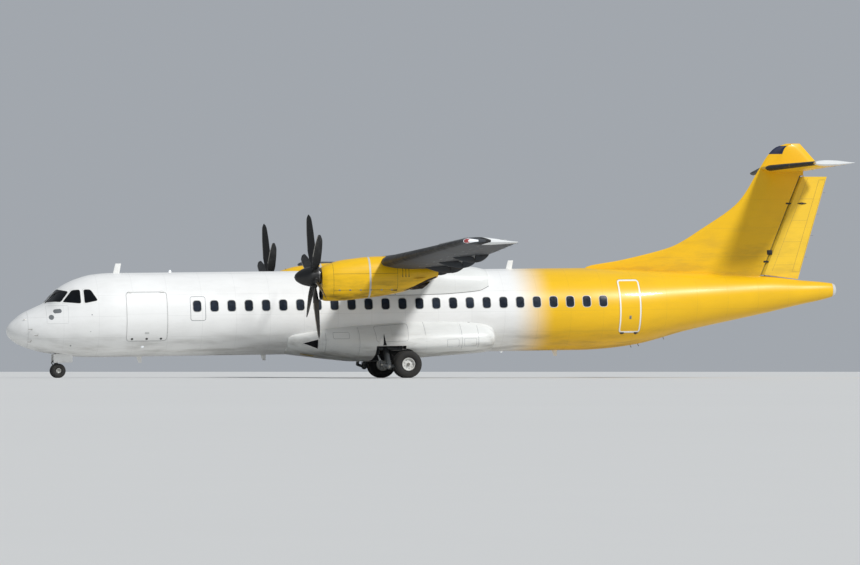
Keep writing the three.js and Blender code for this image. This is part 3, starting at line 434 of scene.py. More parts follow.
def hatch(x: Pair, z: Pair, radius: float, steps: int = 6, step: float = 0.04) -> Array:
    """The outline of a rectangle with rounded corners, dense enough to follow a curved skin."""
    return dense(panel(x, z, radius, steps), step)


def offset(outline: Array, distance: float) -> Array:
    """A closed outline moved outward by a distance, square to the chord between its neighbours."""
    chord = np.roll(outline, -1, axis=0) - np.roll(outline, 1, axis=0)
    normal = joined(chord[:, 1], -chord[:, 0])
    normal /= np.linalg.norm(normal, axis=1, keepdims=True)
    x, z = outline.T
    area = (x * np.roll(z, -1) - np.roll(x, -1) * z).sum()
    return outline + normal * distance * (1 if area > 0 else -1)


class Nodes:
    """Builds a node tree from short calls."""

    def __init__(self, tree: bpy.types.NodeTree) -> None:
        """Starts on an empty tree."""
        self.tree = tree
        tree.nodes.clear()

    def give(self, node: bpy.types.Node, inputs: dict[int | str, object]) -> None:
        """Sets inputs of a node, by place or by name with underscores for spaces, or links them."""
        for key, value in inputs.items():
            socket = node.inputs[key.replace("_", " ") if isinstance(key, str) else key]
            if isinstance(value, bpy.types.NodeSocket):
                self.tree.links.new(value, socket)
            else:
                socket.default_value = value

    def add(self, kind: str, *values: object, out: int | str = 0, **settings: object) -> bpy.types.NodeSocket:
        """Adds a node.

        Args:
            kind: The node's type, without the words before it.
            *values: Its first inputs, each a value or another node's output.
            out: Which output to return.
            **settings: Properties of the node, and inputs by name, which start with a capital.

        Returns:
            The output socket.
        """
        node = self.tree.nodes.new(f"ShaderNode{kind}")
        inputs = dict(enumerate(values))
        for key, value in settings.items():
            if key.islower():
                setattr(node, key, value)
            else:
                inputs[key] = value
        self.give(node, inputs)
        return node.outputs[out]

    def place(self) -> bpy.types.NodeSocket:
        """The airframe's own coordinates of a point, found from its Object coordinates."""
        here = self.add("TexCoord", out="Object")
        moved = self.add("VectorMath", here, tuple(SHIFT), operation="SUBTRACT")
        parts = [self.add("VectorMath", moved, tuple(row), out="Value", operation="DOT_PRODUCT")
                 for row in TURN.T]
        return self.add("CombineXYZ", *parts)

    def math(self, operation: str, a: object, b: object = 0.0, clamp: bool = False) -> bpy.types.NodeSocket:
        """Adds a math node on two values."""
        return self.add("Math", a, b, operation=operation, use_clamp=clamp)

    def times(self, a: object, b: object, clamp: bool = False) -> bpy.types.NodeSocket:
        """The product of two values."""
        return self.math("MULTIPLY", a, b, clamp)

    def ramp(self, *values: object) -> bpy.types.NodeSocket:
        """Maps a value from one range to another, smoothly and clamped."""
        return self.add("MapRange", *values, interpolation_type="SMOOTHSTEP")

    def noise(self, place: bpy.types.NodeSocket, scale: object, detail: float,
              **settings: float) -> bpy.types.NodeSocket:
        """Cloudy noise at places."""
        return self.add("TexNoise", out="Fac", Vector=place, Scale=scale, Detail=detail, **settings)

    def mix(self, factor: object, a: object, b: object, blend: str = "MIX") -> bpy.types.NodeSocket:
        """Mixes two colours by a factor."""
        mixed = self.add("Mix", factor, out=2, data_type="RGBA", blend_type=blend)
        self.give(mixed.node, {6: a, 7: b})
        return mixed

    def group(self, tree: bpy.types.NodeTree, **inputs: object) -> bpy.types.NodeSocket:
        """Places a shared group and returns its first output."""
        return self.add("Group", node_tree=tree, **inputs)

    def closed(self, mask: bpy.types.NodeSocket) -> bpy.types.NodeTree:
        """Ends a group: puts out its mask and returns its tree."""
        self.tree.links.new(mask, self.tree.nodes.new("NodeGroupOutput").inputs[0])
        return self.tree


def rgb(value: str) -> tuple[float, float, float, float]:
    """A display colour such as "ffcc00" as linear values."""
    channels = [int(value[i:i + 2], 16) / 255 for i in (0, 2, 4)]
    linear = [c / 12.92 if c <= 0.04045 else ((c + 0.055) / 1.055) ** 2.4 for c in channels]
    return (*linear, 1.0)


class Effects:
    """Shader groups that several finishes share, each built once."""

    @staticmethod
    def new(name: str, **inputs: float | None) -> tuple[Nodes, dict[str, bpy.types.NodeSocket]]:
        """Makes a group that will put out a mask.

        Args:
            name: The group's name.
            **inputs: Default values by name, with underscores for spaces; None is a vector.

        Returns:
            The builder of its tree, and its inputs by the same names.
        """
        tree = bpy.data.node_groups.new(name, "ShaderNodeTree")
        for key, value in inputs.items():
            kind = "NodeSocketVector" if value is None else "NodeSocketFloat"
            socket = tree.interface.new_socket(key.replace("_", " "), in_out="INPUT", socket_type=kind)
            if value is not None:
                socket.default_value = value
        tree.interface.new_socket("Mask", in_out="OUTPUT", socket_type="NodeSocketFloat")
        build = Nodes(tree)
        return build, dict(zip(inputs, tree.nodes.new("NodeGroupInput").outputs))

    @staticmethod
    @cache
    def seams() -> bpy.types.NodeTree:
        """Group: thin lines where skin panels meet.

        Rings stand at equal steps along X and rows at equal steps of Z; a line is where the
        distance to the nearest of them is under half its width.
        """
        build, given = Effects.new("panel_seams", Place=None, Ring_step=1.0, Ring_start=0.0, Row_step=0.6,
                                   Row_start=0.0, Width=0.008)
        split = build.add("SeparateXYZ", given["Place"]).node.outputs
        lines = []
        for value, name in ((split[0], "Ring"), (split[2], "Row")):
            local = build.math("SUBTRACT", value, given[f"{name}_start"])
            apart = build.math("PINGPONG", local, build.times(given[f"{name}_step"], 0.5))
            edge = build.math("SUBTRACT", build.times(given["Width"], 0.5), apart)
            lines.append(build.times(edge, 400.0, clamp=True))
        return build.closed(build.math("MAXIMUM", *lines))

    @staticmethod
    @cache
    def rivets() -> bpy.types.NodeTree:
        """Group: rows of round heads, as dots at equal steps along the rings of the seams.

        The distance along a ring is its angle times the fuselage's radius.
        """
        radius, beside = 1.4, 0.018
        build, given = Effects.new("rivet_rows", Place=None, Ring_step=1.0, Ring_start=0.0, Pitch=0.05,
                                   Size=0.006)
        x, y, z = build.add("SeparateXYZ", given["Place"]).node.outputs
        arc = build.times(build.math("ARCTAN2", y, z), radius)
        along = build.math("PINGPONG", arc, build.times(given["Pitch"], 0.5))
        local = build.math("ADD", build.math("SUBTRACT", x, given["Ring_start"]), beside)
        across = build.math("PINGPONG", local, build.times(given["Ring_step"], 0.5))
        squares = [build.math("POWER", part, 2.0) for part in (along, across)]
        far = build.math("SQRT", build.math("ADD", *squares))
        return build.closed(build.times(build.math("SUBTRACT", given["Size"], far), 500.0, clamp=True))

    @staticmethod
    @cache
    def grime() -> bpy.types.NodeTree:
        """Group: dirt streaks drawn out along X, thicker towards the underside of the airframe."""
        build, given = Effects.new("grime_streaks", Place=None, Scale=3.0, Low=-1.5, High=-0.4, Amount=0.5)
        drawn = build.add("VectorMath", given["Place"], (0.22, 1.0, 1.0), operation="MULTIPLY")
        streak = build.ramp(build.noise(drawn, given["Scale"], 8.0, Roughness=0.62), 0.42, 0.72)
        height = build.add("SeparateXYZ", given["Place"], out=2)
        under = build.ramp(height, given["High"], given["Low"], 0.12, 1.0)
        return build.closed(build.times(build.times(streak, under), given["Amount"]))

    @staticmethod
    @cache
    def speckle() -> bpy.types.NodeTree:
        """Group: fine and coarse variation of a colour, from two noises of different size."""
        build, given = Effects.new("speckle", Coarse=1.2, Fine=40.0)
        here = build.add("TexCoord", out="Object")
        coarse = build.times(build.noise(here, given["Coarse"], 4.0), 0.7)
        fine = build.times(build.noise(here, given["Fine"], 3.0), 0.3)
        return build.closed(build.ramp(build.math("ADD", coarse, fine), 0.3, 0.7))


class Shading(Nodes):
    """A new material with one principled shader, whose inputs are set by name."""

    def __init__(self, name: str, **settings: object) -> None:
        """Makes the material, with constants for some of the shader's inputs."""
        self.material = bpy.data.materials.new(name)
        self.material.use_nodes = True
        super().__init__(self.material.node_tree)
        self.shader = self.add("BsdfPrincipled", **settings).node
        output = self.tree.nodes.new("ShaderNodeOutputMaterial")
        self.tree.links.new(self.shader.outputs[0], output.inputs[0])

    def done(self, **inputs: bpy.types.NodeSocket) -> bpy.types.Material:
        """Links values to the shader and returns the material."""
        self.give(self.shader, inputs)
        return self.material


@dataclass(frozen=True)
class Paint:
    """Gloss aircraft paint with panel seams, rivet rows, streaks of dirt and an optional fade."""

    name: str
    colour: str
    ring: Pair
    row: Pair = (9.0, 0.0)
    fade_to: str | None = None
    fade: Pair = (15.9, 17.4)
    roughness: float = 0.34
    coat: float = 0.12
    specular: float = 0.35
    seam: float = 0.20
    dirt: float = 0.4
    dirt_scale: float = 3.0
    dirt_colour: str = "5a4f3e"
    dirt_heights: Pair = (-1.5, -0.4)

    def build(self) -> bpy.types.Material:
        """Makes the material: base colour, fade along X, dirt, seams darkened and sunk, rivets raised."""
        build = Shading(self.name, Coat_Weight=self.coat, Coat_Roughness=0.08,
                        Specular_IOR_Level=self.specular)
        place = build.place()
        colour = rgb(self.colour)
        if self.fade_to:
            x = build.add("SeparateXYZ", place)
            colour = build.mix(build.ramp(x, *self.fade), colour, rgb(self.fade_to))
        speckle = build.group(Effects.speckle())
        colour = build.mix(build.times(speckle, 0.07), colour, rgb("8f8b80"), "MULTIPLY")
        low, high = self.dirt_heights
        dirt = build.group(Effects.grime(), Place=place, Scale=self.dirt_scale, Low=low, High=high,
                           Amount=self.dirt)
        colour = build.mix(dirt, colour, rgb(self.dirt_colour))
        rings = {"Ring_step": self.ring[0], "Ring_start": self.ring[1]}
        seams = build.group(Effects.seams(), Place=place, Row_step=self.row[0], Row_start=self.row[1],
                            **rings)
        rivets = build.group(Effects.rivets(), Place=place, **rings)
        colour = build.mix(build.times(seams, self.seam), colour, rgb("3a3a3a"))
        colour = build.mix(build.times(rivets, 0.12), colour, rgb("55534f"))
        dull = build.math("ADD", dirt, build.times(speckle, 0.25))
        rough = build.ramp(dull, 0.0, 1.0, self.roughness, 0.62)
        height = build.math("SUBTRACT", build.times(rivets, 0.4), seams)
        bump = build.add("Bump", Strength=0.35, Distance=0.002, Height=height)
        return build.done(Base_Color=colour, Roughness=rough, Normal=bump)


@dataclass(frozen=True)
class Coating:
    """A plain coating such as rubber, lacquer or bare metal, with grain, wear patches and dust."""

    name: str
    colour: str
    worn: str
    roughness: Pair = (0.45, 0.75)
    metallic: float = 0.0
    wear: float = 0.35
    coarse: float = 4.0
    fine: float = 90.0
    grain: float = 0.25
    coat: float = 0.0

    def build(self) -> bpy.types.Material:
        """Makes the material: speckle mixes in the worn colour, roughens it and raises a fine grain."""
        build = Shading(self.name, Metallic=self.metallic, Coat_Weight=self.coat)
        mask = build.group(Effects.speckle(), Coarse=self.coarse, Fine=self.fine)
        colour = build.mix(build.times(mask, self.wear), rgb(self.colour), rgb(self.worn))
        rough = build.ramp(mask, 0.0, 1.0, *self.roughness)
        grain = build.noise(build.add("TexCoord", out="Object"), self.fine * 3, 4.0)
        bump = build.add("Bump", Strength=self.grain, Distance=0.0015, Height=grain)
        return build.done(Base_Color=colour, Roughness=rough, Normal=bump)


@dataclass(frozen=True)
class Glazing:
    """Dark tinted glass with faint smears and a bluish cast."""

    name: str
    colour: str = "050709"
    tint: str = "0d1116"
    roughness: float = 0.10

    def build(self) -> bpy.types.Material:
        """Makes the material: two dark tints clouded by noise, rougher where they are paler."""
        build = Shading(self.name, IOR=1.45, Specular_IOR_Level=0.22)
        mask = build.group(Effects.speckle(), Coarse=2.0, Fine=12.0)
        rough = build.ramp(mask, 0.0, 1.0, self.roughness, self.roughness + 0.08)
        return build.done(Base_Color=build.mix(mask, rgb(self.colour), rgb(self.tint)), Roughness=rough)


@dataclass(frozen=True)
class Lens:
    """A lamp's coloured lens, lit softly from within."""

    name: str
    colour: str
    glow: float

    def build(self) -> bpy.types.Material:
        """Makes the material: a gloss tint with fine ribs and a weak glow of its own colour."""
        build = Shading(self.name, Roughness=0.08, Coat_Weight=1.0, Emission_Strength=self.glow)
        here = build.add("TexCoord", out="Object")
        ribs = build.add("TexWave", out="Fac", Vector=here, Scale=60.0, Distortion=0.3)
        colour = build.mix(build.times(ribs, 0.08), rgb(self.colour), (1, 1, 1, 1))
        bump = build.add("Bump", Strength=0.3, Distance=0.001, Height=ribs)
        return build.done(Base_Color=colour, Emission_Color=colour, Normal=bump)


class Finishes:
    """Every finish of the airliner, built once and read by name."""

    WHITE = "f0f0ee"
    YELLOW = "f2bf16"

    def __init__(self) -> None:
        """Builds the materials."""
        plain = (9.0, 0.0)
        fin = {"row": (0.93, 0.7), "dirt_heights": (0.5, 3.5)}
        tail = {"ring": (0.62, 24.9), "dirt_heights": (4.0, 4.6)}
        recipes = [
            Paint("hull_paint", self.WHITE, (1.08, 0.6), (0.66, -0.06), fade_to=self.YELLOW, dirt=0.5),
            Paint("fairing_paint", "e6e7e4", (1.09, 8.69), (0.9, -0.35), dirt=0.65, dirt_scale=2.4),
            Paint("door_paint", self.WHITE, plain, fade_to=self.YELLOW, dirt=0.3),
            Paint("yellow_panel", self.YELLOW, plain, dirt=0.3),
            Paint("nacelle_paint", self.YELLOW, (1.5, 9.264), (0.34, 0.62), dirt=0.75, dirt_scale=5.0,
                  dirt_colour="2f2718", dirt_heights=(0.2, 1.2)),
            # The rudder's yellow is paler than the fin's: a painted highlight, the sheen of light on its flat
            # sides.
            Paint("rudder_paint_painted_highlight", "f4c938", plain, dirt=0.25, **fin),
            Paint("fin_paint", self.YELLOW, plain, dirt=0.3, **fin),
            Paint("tail_paint", self.YELLOW, **tail),
            Paint("tail_white", "e4e4e0", dirt=0.35, **tail),
            # The wing's dark grey is its grey paint darkened as painted shade, standing in for the shadow
            # under the wing.
            Paint("wing_paint_painted_shade", "4c4f53", (0.56, 11.2), roughness=0.5, specular=0.1, coat=0.0, seam=0.35,
                  dirt=0.6, dirt_scale=4.0, dirt_heights=(1.0, 1.9)),
            Paint("cap_white", "eceeee", plain, dirt=0.2),
            Coating("boot_rubber", "141516", "3b3c3c", (0.5, 0.72), grain=0.2, fine=60.0),
            Coating("tyre_rubber", "1a1a1a", "4a4742", (0.72, 0.95), grain=0.5, fine=120.0, coarse=9.0),
            Coating("hub_paint", "d8d9d6", "8a8378", (0.3, 0.6), wear=0.4, coarse=14.0, coat=0.3),
            # The gear's grey is partly its paint and partly painted shade: darkened a little for the shade on
            # the legs.
            Coating("gear_paint_and_painted_shade", "64686b", "3c3a36", (0.35, 0.65), 0.35, 0.5, 9.0),
            Coating("dark_steel", "2b2c2e", "5a564f", (0.4, 0.7), 0.7, 0.5, 12.0),
            Coating("oleo_chrome", "c9ccd0", "9a9da1", (0.06, 0.2), 1.0, 0.3),
            Coating("bare_metal", "a9a6a0", "6b675f", (0.25, 0.5), 0.9, 0.6, 8.0),
            Coating("burnt_metal", "4a4038", "15120f", (0.4, 0.8), 0.8, 0.8, 6.0),
            Coating("blade_black", "090a0b", "232426", (0.45, 0.65), wear=0.25, coarse=5.0),
            Coating("spinner_black", "090a0b", "1d1e20", (0.3, 0.5), wear=0.25, coarse=5.0, coat=0.15),
            Coating("bay_lining", "8b8d80", "3a3a33", (0.6, 0.9), wear=0.6, coarse=3.0),
            Coating("bay_dark", "15161a", "2c2c2c", (0.7, 0.95), wear=0.5, coarse=3.0),
            Coating("cabin_lining", "c9c6bd", "98958b", (0.5, 0.8), wear=0.4, coarse=3.0),
            Coating("tread_grit", "3a3b3d", "6b6a66", (0.7, 0.95), wear=0.4, grain=0.7),
            Coating("seal_black", "131314", "2a2a2a", (0.5, 0.7)),
            Coating("trim_white", "f1f1ee", "c9c7c0", (0.25, 0.45), wear=0.25, coat=0.3),
            Coating("rim_pale", "c9cac8", "9a9b99", (0.3, 0.5), wear=0.3),
            Coating("patch_dark", "1c2440", "2e3350", (0.3, 0.5), wear=0.4),
            Coating("trim_grey", "8b8e90", "5d5f60", (0.3, 0.5), 0.4),
            Coating("spot_orange", "b79a4a", "5d4a20", (0.35, 0.6), wear=0.4),
            Glazing("cockpit_glass"),
            Glazing("cabin_glass", "161b23", "2b333f", 0.14),
            Lens("lens_red", "a80b0b", 0.05),
            Lens("lens_green", "0b7a35", 0.05),
            Lens("lens_clear", "e9edf0", 0.3),
        ]
        self.all = {recipe.name: recipe.build() for recipe in recipes}

    def __getitem__(self, name: str) -> bpy.types.Material:
        """The material of that name."""
        return self.all[name]


class Builder:
    """Adds finished pieces to the airliner."""

    def __init__(self, finishes: Finishes) -> None:
        """Keeps the finishes."""
        self.finishes = finishes

    def add(self, name: str, skins: Skin | list[Skin], finish: str, slot: str = "engine_metal",
            body: str = "airframe", inner: str | None = None, replaces: tuple[str, ...] = ()) -> None:
        """Adds a piece.

        Args:
            name: The piece's name.
            skins: Its surface, or the surfaces that make it up, in the airframe's frame.
            finish: The material of its outer faces.
            slot: The record's slot that the finish stands for; it is not used.
            body: The body that it rides on.
            inner: The material of faces marked as inner.
            replaces: The solid nodes that it stands for.
        """
        mesh = to_mesh(name, merged(skins) if isinstance(skins, list) else skins)
        mesh.materials.append(self.finishes[finish])
        mesh.materials.append(self.finishes[inner or finish])
        mesh.polygons.foreach_set("use_smooth", np.ones(len(mesh.polygons), bool))
        mesh.set_sharp_from_angle(angle=SHARP)
        mesh.validate()
        piece = bpy.data.objects.new(name, mesh)
        bpy.context.scene.collection.objects.link(piece)
        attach(piece, body)
        if replaces:
            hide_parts(*replaces)
        log.info("%s: %d faces on %s", name, len(mesh.polygons), body)

    def dress(self, node: str, finish: str) -> None:
        """Gives a solid node, kept as it is, its finish."""
        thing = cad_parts[node]
        thing.data.materials.clear()
        thing.data.materials.append(self.finishes[finish])
        log.info("%s: kept, in %s", node, finish)


@dataclass(frozen=True)
class Face:
    """One side of a body as a function of two coordinates, and the sense of its outward normal."""

    at: Callable[[Array], Array]
    sense: float

    def lifted(self, uv: Array | list, lift: Array | float) -> Array:
        """Points outside the face.

        The normal is the cross product of the slopes along the two coordinates.

        Args:
            uv: Coordinates, the last dimension of size two.
            lift: Distances outward.

        Returns:
            The points.
        """
        uv, u, v = np.asarray(uv, float), np.array([1e-3, 0]), np.array([0, 1e-3])
        normal = np.cross(self.at(uv + u) - self.at(uv - u), self.at(uv + v) - self.at(uv - v))
        normal /= np.maximum(np.linalg.norm(normal, axis=-1, keepdims=True), 1e-12)
        return self.at(uv) + self.sense * np.asarray(lift)[..., None] * normal

    def band(self, outline: Array, profile: list[Pair]) -> Skin:
        """A closed strip along a closed outline, from rows of distance outside it and height."""
        return hoop(np.stack([self.lifted(offset(outline, out), height) for out, height in profile]))

    def seam(self, outline: Array, inner: float = -0.004, rise: float = 0.0012, outer: float = 0.004,
             sink: float = 0.002) -> Skin:
        """A thin closed ridge along a closed outline, between two distances outside it."""
        bevel = 0.001
        rows = [(outer, -sink), (outer - bevel, rise), (inner + bevel, rise), (inner, -sink)]
        return self.band(outline, rows)

    def cover(self, outline: Array, profile: list[Pair]) -> Skin:
        """A closed pad over a closed outline, from rows of scale about its middle and height."""
        middle = outline.mean(axis=0)
        return loft([self.lifted(middle + (outline - middle) * scale, height) for scale, height in profile])

    def pad(self, outline: Array, rim: float, crest: float, sink: float = 0.002, shoulder: float = 0.8,
            top: float = 0.1) -> Skin:
        """A closed pad whose rim and crest stand at two heights, and whose shoulder is at a scale."""
        return self.cover(outline, [(1.0, -sink), (1.0, rim), (shoulder, crest), (top, crest)])

    def strip(self, path: Array, width: float, height: float) -> Skin:
        """A thin closed strip along an open path, with chamfered edges."""
        along = np.gradient(path, axis=0)
        across = joined(-along[:, 1], along[:, 0])
        across *= width / 2 / np.linalg.norm(across, axis=1, keepdims=True)
        half = [(1.0, -0.004), (1.0, 0.7 * height), (0.7, height)]
        section = half + [(-share, rise) for share, rise in half[::-1]]
        return loft(np.stack([self.lifted(path + across * share, rise) for share, rise in section], axis=1))


@dataclass(frozen=True)
class Sections:
    """A long body whose sections are squared ovals.

    Rows are X, top, bottom, half width, height of the widest point, and the oval's power above
    and below that height. With c and s the cosine and sine of an angle and n the power, a point
    stands at half * |c|^(2/n) to the side and reach * |s|^(2/n) above or below the widest point.
    """

    table: Array
    centre: float = 0.0
    station_power: float = 1.0

    def rows(self, x: Array | float) -> list[Array]:
        """Top, bottom, half width, widest height and both powers at stations."""
        return list(np.moveaxis(smooth(self.table, x, self.station_power), -1, 0))

    def ring(self, x: Array, sides: int, grow: float = 0.0) -> Array:
        """Rings of points at stations, grown outward by a distance."""
        top, bottom, half, middle, above, below = (v[:, None] for v in self.rows(x))
        c, s = circle(sides).T[:, None]
        power = 2 / np.where(s > 0, above, below)
        reach = np.where(s > 0, top - middle, middle - bottom) + grow
        y = self.centre + (half + grow) * signed_power(c, power)
        return joined(x[:, None], y, middle + reach * signed_power(s, power))

    def solid(self, x: Array, sides: int, grow: float = 0.0, mark: Mark = Mark.OUTER) -> Skin:
        """The body between the first station and the last."""
        return loft(self.ring(x, sides, grow), mark)

    def half_width(self, x: Array | float, z: Array | float) -> Array:
        """Half width at a height: the oval's equation solved for it."""
        top, bottom, half, middle, above, below = self.rows(x)
        up = np.asarray(z, float) > middle
        power = np.where(up, above, below)
        share = np.abs(z - middle) / np.where(up, top - middle, middle - bottom)
        return half * (1 - np.clip(share, 0, 0.99999) ** power) ** (1 / power)

    def height(self, x: Array | float, y: Array | float, upper: bool) -> Array:
        """Height of the upper or lower side at a distance from the middle plane."""
        top, bottom, half, middle, above, below = self.rows(x)
        power, reach = (above, top - middle) if upper else (below, bottom - middle)
        share = np.abs(np.asarray(y, float) - self.centre) / half
        return middle + reach * (1 - np.clip(share, 0, 0.99999) ** power) ** (1 / power)

    def side(self, side: int) -> Face:
        """The port or starboard face, in coordinates X and Z."""
        def at(uv: Array) -> Array:
            """Point of the face."""
            x, z = np.moveaxis(uv, -1, 0)
            return joined(x, self.centre + side * self.half_width(x, z), z)
        return Face(at, -side)

    @property
    def both(self) -> list[Face]:
        """The port and the starboard face."""
        return [self.side(side) for side in SIDES.values()]

    def level(self, upper: bool) -> Face:
        """The upper or lower face, in coordinates X and Y."""
        def at(uv: Array) -> Array:
            """Point of the face."""
            x, y = np.moveaxis(uv, -1, 0)
            return joined(x, y, self.height(x, y, upper))
        return Face(at, 1 if upper else -1)


@dataclass(frozen=True)
class Pivot:
    """A hinge's own frame: its Y axis runs from one point towards another."""

    origin: Array
    toward: Array

    @property
    def turn(self) -> Array:
        """Matrix of the shortest turn that takes Y to the hinge line."""
        along = (self.toward - self.origin) / self.length
        x, y, z = np.cross([0, 1, 0], along)
        cross = np.array([[0, -z, y], [z, 0, -x], [-y, x, 0]])
        return np.eye(3) + cross + cross @ cross / (1 + along[1])

    @property
    def length(self) -> float:
        """Distance between the two points."""
        return float(np.linalg.norm(self.toward - self.origin))

    def place(self, skin: Skin) -> Skin:
        """A surface given in the hinge's frame, in the airframe's."""
        return skin.turned(self.turn).moved(self.origin)

    def pin(self, radius: float, side: int = 1) -> Skin:
        """The hinge's pin, a millimetre short at both ends."""
        return self.place(tube(joined(0, side * np.linspace(0.001, self.length - 0.001, 3), 0), radius))

    def moving(self, full: Skin, nose: Pair, side: int) -> Skin:
        """The share of a wing that turns about the hinge, with a round nose."""
        space = surface_space(side * GAP, side * (self.length - GAP), 0.0, nose)
        return carve(full, [self.place(space)], Carve.MEET)

    def room(self, nose: Pair, side: int, lip: float) -> Skin:
        """The room that the share which turns has in its wing."""
        radii = [radius + GAP + 0.002 for radius in nose]
        return self.place(surface_space(0, side * self.length, lip, radii, Mark.INNER))


def surface_space(y0: float, y1: float, lip: float, radii: Pair | list, mark: Mark = Mark.OUTER) -> Skin:
    """Space of a control surface in its hinge's frame.

    It is everything aft of the lip line, and a round nose about the hinge.

    Args:
        y0: Start along the hinge.
        y1: End along the hinge.
        lip: Distance of the lip ahead of the hinge.
        radii: Radius of the nose at the start and at the end.
        mark: The mark of its faces.

    Returns:
        The closed solid.
    """
    aft = box((-lip, 3.0), (y0, y1), (-0.7, 0.7), mark)
    c, s = circle(48).T
    nose = loft([joined(c * radius, y, s * radius) for y, radius in zip((y0, y1), radii)], mark)
    return carve(aft, [nose], Carve.JOIN)


def with_powers(rows: Array, *powers: float) -> Array:
    """Rows of sections with the oval's powers as further columns."""
    return np.column_stack([rows, *(np.full(len(rows), power) for power in powers)])


@dataclass(frozen=True)
class Door:
    """A door in the port side of the fuselage, hinged at its head or its sill.

    Its hinge line is given as Y at the middle of the door and the slope of Y along X.
    """

    name: str
    x: Pair
    z: Pair
    hinge_at_sill: bool
    hinge: Pair
    floor: float
    bay: float
    corner: float = 0.12
    thick: float = 0.09
    inset: float = 0.13

    @property
    def places(self) -> Pair:
        """Stations of the two hinges."""
        return self.x[0] + self.inset, self.x[1] - self.inset

    def hinge_points(self, first: float, last: float) -> Array:
        """Three points of the hinge line, evenly spaced between two stations."""
        x = np.linspace(first, last, 3)
        z = self.z[0] - GAP / 2 if self.hinge_at_sill else self.z[1] + GAP / 2
        return joined(x, self.hinge[0] + self.hinge[1] * (x - sum(self.x) / 2), z)

    def reliefs(self) -> list[Skin]:
        """Round pockets about the hinge line that leave room for the knuckles."""
        return [tube(self.hinge_points(at - 0.066, at + 0.066), 0.027, 32) for at in self.places]

    def outline(self, grow: float = 0.0) -> Array:
        """The rounded outline, grown by a distance."""
        x, z = (self.x[0] - grow, self.x[1] + grow), (self.z[0] - grow, self.z[1] + grow)
        return hatch(x, z, self.corner + grow, 8)


